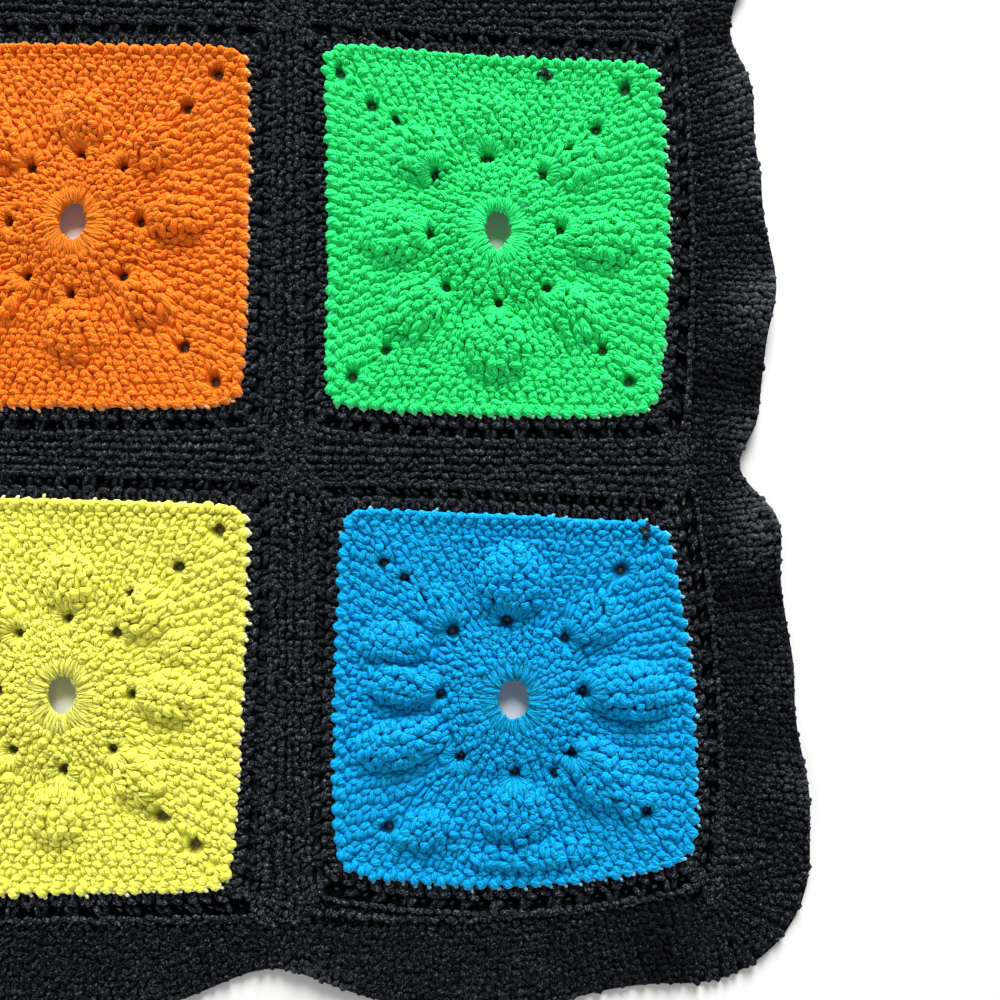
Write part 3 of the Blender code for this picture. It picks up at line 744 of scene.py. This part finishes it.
        # painted shade: deep between the stitches and inside the openings little light is left
        place = node(tree, "ShaderNodeSeparateXYZ")
        link(tree, where, place.inputs[0])
        depth_shade = maths(tree, "MULTIPLY", maths(tree, "SUBTRACT", 0.0025, place.outputs[2], True), 800.0, True)
        base = mix(tree, depth_shade, base, scaled(colour, 0.10))
    bump = node(tree, "ShaderNodeBump")
    bump.inputs["Strength"].default_value = 0.9
    bump.inputs["Distance"].default_value = 0.0008
    link(tree, height, bump.inputs["Height"])
    link(tree, bump.outputs[0], shader.inputs["Normal"])
    link(tree, base, shader.inputs["Base Color"])
    shader.inputs["Roughness"].default_value = 0.60 if dark else 0.80
    shine = {"cloth": 0.02, "ribs": 0.03}.get(kind, 0.05) if dark else 0.08
    shader.inputs["Specular IOR Level"].default_value = shine
    if not dark:
        shader.inputs["Subsurface Weight"].default_value = {"blue": 0.75, "yellow": 0.70, "orange": 0.40}.get(yarn, 0.25)
        shader.inputs["Subsurface Radius"].default_value = (1.0, 1.0, 1.0)
        shader.inputs["Subsurface Scale"].default_value = {"blue": 0.0018, "yellow": 0.0018}.get(yarn, 0.0012)
    shader.inputs["Sheen Weight"].default_value = (0.0 if kind == "cloth" else 0.015) if dark else 0.03
    shader.inputs["Sheen Roughness"].default_value = 0.45
    shader.inputs["Sheen Tint"].default_value = (0.8, 0.85, 1.0, 1.0) if dark else (*scaled(colour, 1.0), 1.0)
    mat.diffuse_color = (*colour, 1.0)
    return mat


MATERIALS = {(y, k): yarn_material(y, k) for y in YARN for k in ("loops", "tips", "ends", "cloth")}
MATERIALS[("black", "ribs")] = yarn_material("black", "ribs")
MATERIALS[("black", "low ribs")] = yarn_material("black", "ribs", "low")


def finish_piece(obj, node_name, yarn, kind):
    obj.data.materials.append(MATERIALS[(yarn, kind)])
    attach(obj, "root")
    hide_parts(node_name)
    return obj


# ---------------------------------------------------------------- the bright squares
MIDDLE = 0.196  # where the first round ends
INNER = list(np.linspace(MIDDLE - 0.012, 0.405, 5))  # small rounds, as far as the ring of holes
OUTER = list(np.linspace(0.405, 1.0, 10))  # the rounds from there to the edge
CENTRE_TOP = 2.6


def quarters(square, rho, pitch_side, pitch_flat, shift):
    """Angles and widths of the stitches of a round, evenly spaced along each of its four sides."""
    out, steps = [], []
    for quarter in range(4):
        pitch = pitch_side if quarter in (0, 2) else pitch_flat
        phi = quarter * math.pi / 2 + np.linspace(-math.pi / 4, math.pi / 4, 240)
        x, y = square.plain(rho, phi)
        s = np.concatenate([[0], np.cumsum(np.hypot(np.diff(x), np.diff(y)))])
        m = max(2, round(s[-1] / pitch))
        at = (np.arange(m) + shift) * s[-1] / m
        half = s[-1] / m / 2
        out.append(np.interp(at, s, phi))
        steps.append(np.interp(at + half, s, phi) - np.interp(at - half, s, phi))
    return np.concatenate(out), np.concatenate(steps)


def stitch_round(loops, square, inner, outer, angles, widths, sway=1.0, full=1.0):
    """Single crochet between two rounds: two upright legs and the top loop over them."""
    x0, y0 = square.place(np.full_like(angles, inner), angles)
    x1, y1 = square.place(np.full_like(angles, outer), angles)
    tall = np.hypot(x1 - x0, y1 - y0)
    many = np.maximum(1, np.round(tall / 7.4)).astype(int)
    for m in sorted(set(many)):
        pick = many == m
        for k in range(m):
            lo, hi = inner + (outer - inner) * k / m, inner + (outer - inner) * (k + 1) / m
            stitch_cells(loops, square, lo, hi, angles[pick], widths[pick], sway, full)


def stitch_cells(loops, square, lo, hi, angles, widths, sway, fat):
    mid = (lo + hi) / 2
    n = len(angles)
    full = np.full(n, mid)
    x, y = square.place(full, angles)
    xa, ya = square.place(full, angles - widths / 2)
    xb, yb = square.place(full, angles + widths / 2)
    xi, yi = square.place(np.full(n, lo), angles)
    xo, yo = square.place(np.full(n, hi), angles)
    wide = np.clip(np.hypot(xb - xa, yb - ya), 2.6, 9.5)
    tall = np.clip(np.hypot(xo - xi, yo - yi), 3.0, 9.5)
    tx, ty = unit(xb - xa, yb - ya)
    rx, ry = unit(xo - xi, yo - yi)
    # stitches of a raised cluster curl every way
    hill = square.hill(x, y)
    curl = rng.normal(0, 0.30, n) * hill
    c, s = np.cos(curl), np.sin(curl)
    rx, ry = rx * c - ry * s, rx * s + ry * c
    tx, ty = tx * c - ty * s, tx * s + ty * c
    # legs, leaning together at the foot
    for side in (-1, 1):
        lean = side * 0.24
        ox, oy = tx * side * wide * 0.235 - rx * 0.08 * tall, ty * side * wide * 0.235 - ry * 0.08 * tall
        loops.add(x + ox, y + oy, rx + tx * lean, ry + ty * lean, tall * (0.56 - 0.05 * hill), wide * (0.265 + 0.05 * hill) * fat, 1.45, 0.25,
                  bow=-side * 0.3, dip=0.7, sway=sway * (1 + 0.5 * hill))
    # the top loop
    skew = rng.normal(0.12, 0.12, n)
    loops.add(xo - rx * 0.8, yo - ry * 0.8, tx + rx * skew, ty + ry * skew, wide * 0.53, tall * (0.27 + 0.05 * hill) * fat, 1.40, 0.90,
              bow=-0.8, dip=1.2, sway=sway * (1 + 0.5 * hill))


def fans(loops, square):
    """Long strands that leave each hole outwards, over the raised cluster."""
    for k, (hx, hy, w, h) in enumerate(square.holes):
        out = math.atan2(hy - square.mid[1], hx - square.mid[0])
        n, spread, length = (13, 92, 4.3) if k < 8 else (8, 80, 2.9)
        angle = out + np.radians(np.linspace(-spread, spread, n))
        r0 = 1 / np.hypot(np.cos(angle) / w, np.sin(angle) / h)
        reach_out = length * (1 - 0.25 * (np.linspace(-1, 1, n)) ** 2)
        d = r0 + reach_out + 0.1
        x, y = hx + d * np.cos(angle), hy + d * np.sin(angle)
        loops.add(x, y, np.cos(angle), np.sin(angle), reach_out, 1.45, 1.15, 1.05, dip=1.6, pitch=0.10, sway=0.8)


def bright_square(row, col):
    square = SQUARES[(row, col)]
    fine = (row, col) in VISIBLE
    node_name = f"centre_r{row}c{col}"
    top = lambda x, y: CENTRE_TOP + square.relief(x, y)

    def lower(x, y):
        """The lowest relief close by, so that coarse cloth stays under the loops."""
        return np.min([square.relief(x + 1.8 * math.cos(a), y + 1.8 * math.sin(a)) for a in np.arange(8) * TAU / 8], axis=0)

    def over(x, y):
        z = CENTRE_TOP + np.minimum(lower(x, y), square.relief(x, y))
        for hx, hy, w, h in square.holes:
            q = np.hypot((x - hx) / (w + 0.8), (y - hy) / (h + 0.8))
            z = z - (z - 0.95) * np.exp(-q ** 4)
        return z

    under = lambda x, y: np.minimum(0.35 + np.maximum(lower(x, y) - 0.4, 0) * 0.85, over(x, y) - 0.35)
    phi = np.arange(160) * TAU / 160
    outline = np.stack(square.edge(phi), 1)
    mid = np.array(square.mid)
    away = outline - mid
    outline = outline - away / np.linalg.norm(away, axis=1, keepdims=True) * 0.1
    ring_x, ring_y = RING_HOLE[square.yarn]
    holes = [oval(*square.mid, ring_x + 1.0, ring_y + 1.0, 20)]
    for hx, hy, w, h in square.holes:
        holes.append(oval(hx, hy, min(w * 0.55, 1.15), min(h * 0.55, 1.15), 8))
    cloth, area = sheet_mesh("cloth_" + node_name, outline, holes, over, under, step=6.2 if fine else 8.5)
    finish_piece(cloth, node_name, square.yarn, "cloth")

    loops = Loops()
    # the first round: long strands round the open ring
    n = 48
    angle = np.arange(n) * TAU / n + 0.05
    r0 = 1 / np.hypot(np.cos(angle) / ring_x, np.sin(angle) / ring_y)
    x1, y1 = square.plain(np.full(n, MIDDLE), angle)
    r1 = np.hypot(x1 - mid[0], y1 - mid[1])
    middle, half = (r0 + r1) / 2 + 0.5, (r1 - r0) / 2 + 1.4
    x, y = mid[0] + middle * np.cos(angle), mid[1] + middle * np.sin(angle)
    uneven = rng.uniform(-0.9, 1.5, n)
    x, y = x + uneven * 0.5 * np.cos(angle), y + uneven * 0.5 * np.sin(angle)
    loops.add(x, y, np.cos(angle), np.sin(angle), half + uneven * 0.5, 1.85, 0.75, 0.45, dip=1.3, pitch=0.03, sway=0.8)
    # the small rounds
    for k, (inner, outer) in enumerate(zip(INNER, INNER[1:])):
        r = (inner + outer) / 2 * (square.half[0] + square.half[1]) / 2
        m = round(TAU * r / 4.9)
        angles = (np.arange(m) + rng.random()) * TAU / m
        stitch_round(loops, square, inner, outer, angles, np.full(m, TAU / m), 1.4, 1.18)
    # the outer rounds
    for k, (inner, outer) in enumerate(zip(OUTER, OUTER[1:])):
        t = min(1.0, max(0.0, (outer - 0.5) / 0.3))
        side, flat = (5.2 if fine else 5.9) + 1.8 * t, (5.0 if fine else 5.7) + 1.2 * t
        angles, widths = quarters(square, (inner + outer) / 2, side, flat, 0.25 + 0.5 * (k % 2))
        stitch_round(loops, square, inner, outer - (0.010 if outer == 1.0 else 0.0), angles, widths)

    def clear(x, y):
        ok = np.ones(len(x), bool)
        for k, (hx, hy, w, h) in enumerate(square.holes):
            ok &= np.hypot((x - hx) / (w + 0.9), (y - hy) / (h + 0.9)) > 1.0
            out = math.atan2(hy - mid[1], hx - mid[0])
            angle = np.arctan2(y - hy, x - hx)
            off = np.abs((angle - out + math.pi) % TAU - math.pi)
            d = np.hypot(x - hx, y - hy)
            ok &= ~((off < math.radians(88 if k < 8 else 75)) & (d < max(w, h) + (5.2 if k < 8 else 3.0)))
        return ok

    first = loops.rows[0]
    loops.rows = loops.rows[1:]
    loops.keep(clear)
    table = np.concatenate(loops.rows)
    dx, dy = unit(table[:, 2], table[:, 3])
    for _ in range(2):
        for hx, hy, w, h in square.holes:
            for end in (-0.85, 0.85):
                ex, ey = table[:, 0] + dx * end * table[:, 4] - hx, table[:, 1] + dy * end * table[:, 4] - hy
                q = np.maximum(np.hypot(ex / (w + 1.3), ey / (h + 1.3)), 0.25)
                push = np.where(q < 1, 1 / q - 1, 0.0)
                table[:, 0] += ex * push
                table[:, 1] += ey * push
    loops.rows = [table]
    loops.rows.insert(0, first)
    fans(loops, square)
    stitches = loops.mesh("stitches_" + node_name, "fine" if fine else "plain", top)
    finish_piece(stitches, node_name, square.yarn, "loops")

    # the edge: plump rounded stitches that slant to a pale tip
    teeth = Loops()
    angles, widths = quarters(square, 0.985, 7.0, 6.2, 0.5)
    full = np.full(len(angles), 0.982)
    x, y = square.plain(full, angles)
    xa, ya = square.plain(full, angles - widths / 2)
    xb, yb = square.plain(full, angles + widths / 2)
    xo, yo = square.plain(np.full(len(angles), 1.0), angles)
    tx, ty = unit(xb - xa, yb - ya)
    rx, ry = unit(xo - x, yo - y)
    wide = np.hypot(xb - xa, yb - ya)
    side = np.floor((angles + math.pi / 4) / (math.pi / 2)).astype(int) % 4  # right, top, left, bottom
    slant = np.array([0.55, 0.30, 0.05, -0.40])[side]
    grow = np.array([1.0, 0.75, 1.1, 0.85])[side] * (1 + rng.normal(0, 0.10, len(side)))
    dx, dy = unit(rx - tx * slant, ry - ty * slant)
    back = np.array([1.3, 1.9, 1.7, 1.3])[side] + rng.normal(0, 0.35, len(side))
    length = 3.3 * grow
    x, y = xo - rx * back, yo - ry * back
    teeth.add(x, y, dx, dy, length, wide * 0.40, 2.0, 0.95, dip=0.9, pitch=-0.08, sway=0.6)
    # a second strand of the same stitch, half under it
    teeth.add(x - rx * 1.9 + tx * wide * 0.28, y - ry * 1.9 + ty * wide * 0.28, dx - tx * 0.35, dy - ty * 0.35, 2.9, wide * 0.24, 1.5, 1.2,
              dip=0.8)
    span = np.array([1.0, 0.80, 0.60, 1.0])[side]
    tips = teeth.mesh("edge_" + node_name, "tip" if fine else "plain", top, span=np.concatenate([span, span]))
    finish_piece(tips, node_name, square.yarn, "tips")
    # small worn ends of yarn on the points of the edge
    worn_ends_and_fold_light = Loops()
    some = rng.random(len(side)) < np.array([0.85, 0.25, 0.08, 0.9])[side]
    ex, ey = unit(dx - tx * np.sign(slant) * 0.35, dy - ty * np.sign(slant) * 0.35)
    wx, wy = x + dx * (length * 0.80) - tx * np.sign(slant) * wide * 0.10, y + dy * (length * 0.80) - ty * np.sign(slant) * wide * 0.10
    worn_ends_and_fold_light.add(wx[some], wy[some], ex[some], ey[some], rng.uniform(1.2, 1.8, some.sum()), rng.uniform(0.75, 1.15, some.sum()), 0.8, 0.75,
             dip=0.4, sway=1.4)
    ends = worn_ends_and_fold_light.mesh("ends_" + node_name, "plain", top)
    finish_piece(ends, node_name, square.yarn, "ends")
    rim_x, rim_y = square.plain(1.0, np.linspace(-math.pi, math.pi, 481))
    size = (float(np.ptp(rim_x)) * MM, float(np.ptp(rim_y)) * MM)


# ---------------------------------------------------------------- the black surrounds
MESH_START, MESH_WIDTH, MESH_PITCH = 6.0, 6.4, 14.3
SURROUND_TOP = 2.0


def surround(row, col):
    square = SQUARES[(row, col)]
    node_name = f"surround_r{row}c{col}"
    field, field_bows = cell(row, col)
    mid = np.array(square.mid)

    def edge_at(a, b):
        """The bright edge at a place of the unit square's outline."""
        n = 20.0
        r = (np.abs(a) ** n + np.abs(b) ** n) ** (-1 / n)
        return patch(square.corners, square.bows, a * r, b * r)

    def on_side(k, t):
        return ((np.ones_like(t), t), (-t, np.ones_like(t)), (-np.ones_like(t), -t), (t, -np.ones_like(t)))[k]

    def spot(k, t, q):
        """A point beside side k, t along it from -1 to 1, q millimetres out from the bright edge, and
        how wide the surround is there."""
        a, b = on_side(k, np.asarray(t, float))
        ex, ey = edge_at(a, b)
        jx, jy = patch(field, field_bows, a, b)
        nx, ny = ((1, 0), (0, 1), (-1, 0), (0, -1))[k]
        w = (jx - ex) * nx + (jy - ey) * ny
        f = q / w
        return ex + (jx - ex) * f, ey + (jy - ey) * f, w

    def width(k):
        return float(np.mean(spot(k, np.linspace(-0.8, 0.8, 9), np.zeros(9))[2]))

    loops = Loops()
    holes, dips = [], []
    for k in range(4):
        w = width(k)
        ts = np.linspace(-1, 1, 81)

        def lengths(q):
            x, y, d = spot(k, ts, np.broadcast_to(q, (81,)))
            return np.concatenate([[0], np.cumsum(np.hypot(np.diff(x), np.diff(y)))])

        def row_of(q0, q1, pitch, form="stitch", up=0.0, shift=0.5):
            """A row between two distances from the edge, which may be functions of the place."""
            lo = q0 if callable(q0) else (lambda t: np.full(len(t), q0))
            hi = q1 if callable(q1) else (lambda t: np.full(len(t), q1))
            s = lengths((lo(ts) + hi(ts)) / 2)
            m = max(2, round(s[-1] / pitch))
            at = np.interp((np.arange(m) + shift) * s[-1] / m, s, ts)
            half = 0.6 * (ts[-1] - ts[0]) / m / 2
            mid_q = (lo(at) + hi(at)) / 2
            x, y, w = spot(k, at, mid_q)
            xa, ya, _ = spot(k, at - half, mid_q)
            xb, yb, _ = spot(k, at + half, mid_q)
            xo, yo, _ = spot(k, at, hi(at))
            xi, yi, _ = spot(k, at, lo(at))
            tx, ty = unit(xb - xa, yb - ya)
            rx, ry = -np.array(((-1, 0), (0, -1), (1, 0), (0, 1))[k], float)
            rx, ry = np.full(m, rx), np.full(m, ry)
            wide, tall = s[-1] / m, hi(at) - lo(at)
            if form == "stitch":
                for side in (-1, 1):
                    loops.add(x + tx * side * wide * 0.24 - rx * 0.4, y + ty * side * wide * 0.24 - ry * 0.4,
                              rx + tx * side * 0.2, ry + ty * side * 0.2, tall * 0.52, wide * 0.235, 1.3, 0.35 + up, dip=0.5)
            if form == "seam":
                for side in (-1, 1):
                    loops.add(x + tx * side * wide * 0.25, y + ty * side * wide * 0.25, tx + rx * side * 0.62, ty + ry * side * 0.62,
                              wide * 0.35, np.minimum(tall * 0.41, 1.75), 1.3, 0.50 + up, dip=0.8, sway=2.0)
            elif form == "ridge":
                loops.add(x, y, tx + rx * 0.22, ty + ry * 0.22, wide * 0.60, 1.35, 1.3, 1.15, dip=0.6, sway=1.0)
            else:
                loops.add(xo - rx * 1.1, yo - ry * 1.1, tx + rx * 0.25, ty + ry * 0.25, wide * 0.46, np.minimum(1.7, tall * 0.28), 1.45,
                          1.1 + up, bow=-0.5, dip=0.8)

        row_of(-0.9, MESH_START, 6.6)
        rest = w - MESH_START - MESH_WIDTH - 0.4
        s = lengths(MESH_START + MESH_WIDTH / 2)
        m = max(3, round(s[-1] / MESH_PITCH))
        at = np.interp((np.arange(m) + 0.5) / m * s[-1], s, ts)
        for j, t in enumerate(at):
            hw = 0.95 + 0.45 * max(0.0, math.sin(j * 2.3 + k * 1.7 + row)) ** 3
            hh = 0.75 + 0.25 * max(0.0, math.sin(j * 1.9 + k + col)) ** 3
            ring = []
            for i in range(8):
                a = TAU * (i + 0.5) / 8
                tt = t + 2 * hw / s[-1] * math.cos(a)
                x, y, d = spot(k, np.array([min(max(tt, -0.995), 0.995)]), np.array([MESH_START + MESH_WIDTH / 2 + hh * math.sin(a)]))
                ring.append((float(x[0]), float(y[0])))
            holes.append(np.array(ring))
            x, y, d = spot(k, np.array([t]), np.array([MESH_START + MESH_WIDTH / 2]))
            dips.append((float(x[0]), float(y[0]), *((3.2, 4.2) if k in (0, 2) else (4.2, 3.2)), 1.0))
        # posts between the open gaps
        posts = np.interp(np.arange(0, m + 1) / m * s[-1], s, ts)
        inner_side = (k == 0 and col < 3) or (k == 2 and col > 1)
        for off in (-4.5, -1.6, 1.6, 4.5) if inner_side else (-1.6, 1.6):
            t = np.clip(posts + off * 2 / s[-1], -0.99, 0.99)
            q = np.full(len(t), MESH_START + MESH_WIDTH / 2)
            x, y, _ = spot(k, t, q)
            xo, yo, _ = spot(k, t, q + 1)
            rx, ry = unit(xo - x, yo - y)
            loops.add(x, y, rx + ry * off * 0.16, ry - rx * off * 0.16, MESH_WIDTH * 0.60, 1.6, 1.3, 0.35, dip=0.3)
            if abs(off) < 2:
                dips += [(float(a), float(b), 3.0, 3.0, 0.55) for a, b in zip(x, y)]
        # bars over and under the gaps, then the rows that reach the seam
        start = MESH_START + MESH_WIDTH
        row_of(start - 0.5, start + 1.3, 4.4, form="ridge")
        count = max(1, round((rest - 0.5) / 4.1))
        for i in range(count):
            q0 = lambda t, i=i: start + 0.6 + (spot(k, t, np.zeros(len(t)))[2] - 0.1 - start - 0.6) * i / count
            q1 = lambda t, i=i: start + 0.6 + (spot(k, t, np.zeros(len(t)))[2] - 0.1 - start - 0.6) * (i + 1) / count
            row_of(q0, q1, 6.4, form="seam", up=0.35, shift=0.25 + 0.5 * (i % 2))
    # the corners, where the rounds turn
    for a, b in ((1, 1), (1, -1), (-1, 1), (-1, -1)):
        (ex, ey), (jx, jy) = edge_at(a, b), patch(field, field_bows, a, b)
        away = math.hypot(jx - ex, jy - ey)
        rx, ry = (jx - ex) / away, (jy - ey) / away
        for f in np.arange(2.0, away - 1.0, 2.6):
            many = 1 + int(4.2 * (f / away) ** 2) * 2
            off = (np.arange(many) - (many - 1) / 2) * 2.9
            off = off[np.abs(off) < (away - f) * 0.95 + 0.8]
            n = len(off)
            way = rng.choice((-1.0, 1.0), n) * 0.8
            loops.add(ex + rx * f - ry * off, ey + ry * f + rx * off, rx - ry * way, ry + rx * way, 2.1, 1.3, 1.2, 0.9, dip=0.7, sway=1.5)
    for px, py in OVERLAPS.get((row, col), []):
        n = 7
        a = rng.uniform(0, TAU, n)
        loops.add(px + rng.normal(0, 1.4, n), py + rng.normal(0, 1.4, n), np.cos(a), np.sin(a), 2.3, 1.15, 1.1, 2.9, dip=1.0)
    t = np.linspace(-1, 1, 25)[:-1]
    inner, outer = [], []
    for k in range(4):
        a, b = on_side(k, t)
        ex, ey = edge_at(a, b)
        inner.append(np.stack([ex, ey], 1))
        jx, jy = patch(field, field_bows, a, b)
        outer.append(np.stack([jx, jy], 1))
    inner, outer = np.concatenate(inner), np.concatenate(outer)
    away = inner - mid
    inner = inner + away / np.linalg.norm(away, axis=1, keepdims=True) * 0.35
    away = outer - mid
    outer = outer - away / np.linalg.norm(away, axis=1, keepdims=True) * 0.15
    wave = lambda x, y: 0.3 * np.sin(x / 13.0 + y / 8.0) * np.sin(y / 17.0 - x / 10.0)

    def top(x, y):
        low = np.zeros_like(x)
        for dx, dy, w, h, depth in dips:
            low = np.maximum(low, depth * np.exp(-(((x - dx) / w) ** 2 + ((y - dy) / h) ** 2) ** 2))
        return SURROUND_TOP + wave(x, y) * (1 - 0.8 * low) - 1.0 * low

    under = lambda x, y: np.full_like(x, 0.15)
    cloth, area = sheet_mesh("cloth_" + node_name, outer, [inner] + holes, top, under, step=8.0)
    finish_piece(cloth, node_name, "black", "cloth")
    stitches = loops.mesh("stitches_" + node_name, "plain", top)
    finish_piece(stitches, node_name, "black", "loops")


# ---------------------------------------------------------------- the ribbed border
RIB, BEAD = 6.1, 3.1
BORDER_TOP = 2.1


def border(side):
    base = {"right": "right", "left": "right", "bottom": "bottom", "top": "bottom"}[side]
    sign = 1 if side == base else -1
    node_name = "border_" + side
    rows = border_lines(base)
    root, outer, rise = rows[:, 0:2] * sign, rows[:, 2:4] * sign, rows[:, 4]
    mid = root + (outer - root) * 0.62
    s = np.concatenate([[0], np.cumsum(np.linalg.norm(np.diff(mid, axis=0), axis=1))])

    def at(where, v):
        r = np.stack([np.interp(where, s, root[:, i]) for i in (0, 1)], 1)
        o = np.stack([np.interp(where, s, outer[:, i]) for i in (0, 1)], 1)
        h = np.interp(where, s, rise)
        p = r + (o - r) * np.asarray(v)[:, None]
        return p, h * np.clip(v, 0, 1) ** 1.5, o - r

    def raised_at(where, v):
        """Height and slope of a lifted place."""
        out = [at(where, v)[1], 0.0, 0.0]
        for (a, ha, _), (b, hb, _) in ((at(where - 1.5, v), at(where + 1.5, v)), (at(where, v - 0.04), at(where, v + 0.04))):
            d = b - a
            n = np.maximum((d * d).sum(1), 0.01)
            out[1] = out[1] + (hb - ha) * d[:, 0] / n
            out[2] = out[2] + (hb - ha) * d[:, 1] / n
        return np.stack(out, 1)

    # the cloth, between the root line and the outer edge
    m = int(s[-1] / 5.0)
    where = np.linspace(0, s[-1], m)
    levels = np.linspace(0, 1, 9)
    top, low = [], []
    for v in levels:
        p, h, across = at(where, np.full(m, v))
        inset = np.where(v < 0.01, 0.25, np.where(v > 0.99, -0.1, 0.0))
        d = across / np.linalg.norm(across, axis=1, keepdims=True)
        p = p + d * inset
        thick = BORDER_TOP - 0.3 if 0.01 < v < 0.99 else BORDER_TOP - 0.9
        top.append(np.column_stack([p, h + thick]))
        low.append(np.column_stack([p, h + 0.2]))
    top, low = np.stack(top), np.stack(low)
    k, n = len(levels), m
    points = np.concatenate([top.reshape(-1, 3), low.reshape(-1, 3)])
    index = np.arange(k * n).reshape(k, n)
    a, b, c, d = index[:-1, :-1].ravel(), index[:-1, 1:].ravel(), index[1:, 1:].ravel(), index[1:, :-1].ravel()
    faces = np.concatenate([np.stack([a, b, c], 1), np.stack([a, c, d], 1)])
    under = faces[:, ::-1] + k * n
    ring = np.concatenate([index[0, :-1], index[:-1, -1], index[-1, :0:-1], index[:0:-1, 0]])
    after = np.roll(ring, -1)
    wall = np.concatenate([np.stack([ring, ring + k * n, after + k * n], 1), np.stack([ring, after + k * n, after], 1)])
    triangles = np.concatenate([faces, under, wall])
    p = points[faces]
    if np.cross(p[:, 1] - p[:, 0], p[:, 2] - p[:, 0])[:, 2].mean() < 0:
        triangles = triangles[:, ::-1]
    cloth = mesh_object("cloth_" + node_name, points, triangles, walls=len(wall))
    finish_piece(cloth, node_name, "black", "cloth")

    # ribs, each of two rows of small slanting strands
    count = 2 * round(s[-1] / RIB)
    number = np.arange(count)
    pair = np.where(number % 2 == 0, 0.30, -0.30)
    ribs = (number + 0.5) * s[-1] / count + pair
    spacing = s[-1] / count
    loops = Loops()
    heights = []
    length = np.linalg.norm(at(ribs, np.zeros(count))[2], axis=1)
    many = np.round(length / BEAD)
    for i in range(int(many.max())):
        v = (i + 0.5) / many * (1 - 0.6 / length)
        p, h, across = at(ribs, v)
        q0, _, _ = at(ribs - spacing / 2, v)
        q1, _, _ = at(ribs + spacing / 2, v)
        step = np.linalg.norm(q1 - q0, axis=1)
        every = np.where(step >= 1.75, 1, np.where(step >= 0.9, 2, np.where(step >= 0.45, 4, 8)))
        show = (i < many) & (number % every == 0)
        if not show.any():
            continue
        p, h, across, wide, way = p[show], raised_at(ribs, v)[show], across[show], (step * every)[show], (number % 2 * 2 - 1)[show]
        open_ = wide > 6.4
        if open_.any():
            p2, _, across2 = at(ribs[show][open_] + spacing / 2, v[show][open_])
            h2 = raised_at(ribs[show][open_] + spacing / 2, v[show][open_])
            wide = np.where(open_, wide / 2, wide)
            p, h, across = np.concatenate([p, p2]), np.concatenate([h, h2]), np.concatenate([across, across2])
            wide, way = np.concatenate([wide, wide[open_]]), np.concatenate([way, -way[open_]])
        ex, ey = unit(across[:, 0], across[:, 1])
        tx, ty = -ey, ex
        slant = 0.75 * way
        loops.add(p[:, 0], p[:, 1], ex + tx * slant, ey + ty * slant, 2.2, np.clip(wide * 0.47, 0.9, 2.9), 1.25, 0.65, dip=0.7, sway=1.7)
        heights.append(h)
    flat = lambda x, y: np.full_like(x, BORDER_TOP - 0.3)
    stitches = loops.mesh("stitches_" + node_name, "plain", flat, np.concatenate(heights))
    finish_piece(stitches, node_name, "black", "ribs" if base == "right" else "low ribs")


for r in (1, 2, 3):
    for c in (1, 2, 3):
        bright_square(r, c)
        surround(r, c)
for s in ("right", "bottom", "left", "top"):
    border(s)

# ---------------------------------------------------------------- floor, light
floor_mesh = bpy.data.meshes.new("floor")
floor_mesh.from_pydata([(-6, -6, -0.0004), (6, -6, -0.0004), (6, 6, -0.0004), (-6, 6, -0.0004)], [], [(0, 1, 2, 3)])
floor = bpy.data.objects.new("floor", floor_mesh)
bpy.context.scene.collection.objects.link(floor)
floor_mat = bpy.data.materials.new("floor")
floor_mat.use_nodes = True
floor_mat.node_tree.nodes["Principled BSDF"].inputs["Base Color"].default_value = (0.72, 0.717, 0.71, 1.0)
floor_mat.node_tree.nodes["Principled BSDF"].inputs["Roughness"].default_value = 0.9
floor_mesh.materials.append(floor_mat)


def lamp(name, place, aim, size, power):
    light = bpy.data.lights.new(name, "AREA")
    light.shape, light.size, light.energy = "DISK", size, power
    obj = bpy.data.objects.new(name, light)
    obj.location = place
    obj.rotation_euler = (Vector(aim) - Vector(place)).to_track_quat("-Z", "Y").to_euler()
    bpy.context.scene.collection.objects.link(obj)


ELEVATION = math.radians(26.5)
DISTANCE = 5.0
AIM = (0.12, -0.10, 0.0)
lamp("key", (AIM[0] + 0.40, AIM[1] + DISTANCE * math.cos(ELEVATION), DISTANCE * math.sin(ELEVATION)), AIM, 2.2, 575.0)
world = bpy.data.worlds.new("studio")
world.use_nodes = True
sky = world.node_tree
height = node(sky, "ShaderNodeSeparateXYZ")
link(sky, node(sky, "ShaderNodeTexCoord").outputs["Generated"], height.inputs[0])
ramp = node(sky, "ShaderNodeValToRGB")
ramp.color_ramp.elements[0].position, ramp.color_ramp.elements[0].color = 0.0, (1.6, 1.6, 1.6, 1)
ramp.color_ramp.elements[1].position, ramp.color_ramp.elements[1].color = 0.82, (0.05, 0.05, 0.05, 1)
ramp.color_ramp.elements.new(0.70).color = (0.75, 0.75, 0.75, 1)
link(sky, height.outputs[2], ramp.inputs[0])
link(sky, ramp.outputs[0], sky.nodes["Background"].inputs["Color"])
sky.nodes["Background"].inputs["Strength"].default_value = 1.0
bpy.context.scene.world = world
bpy.context.scene.view_settings.view_transform = "Standard"
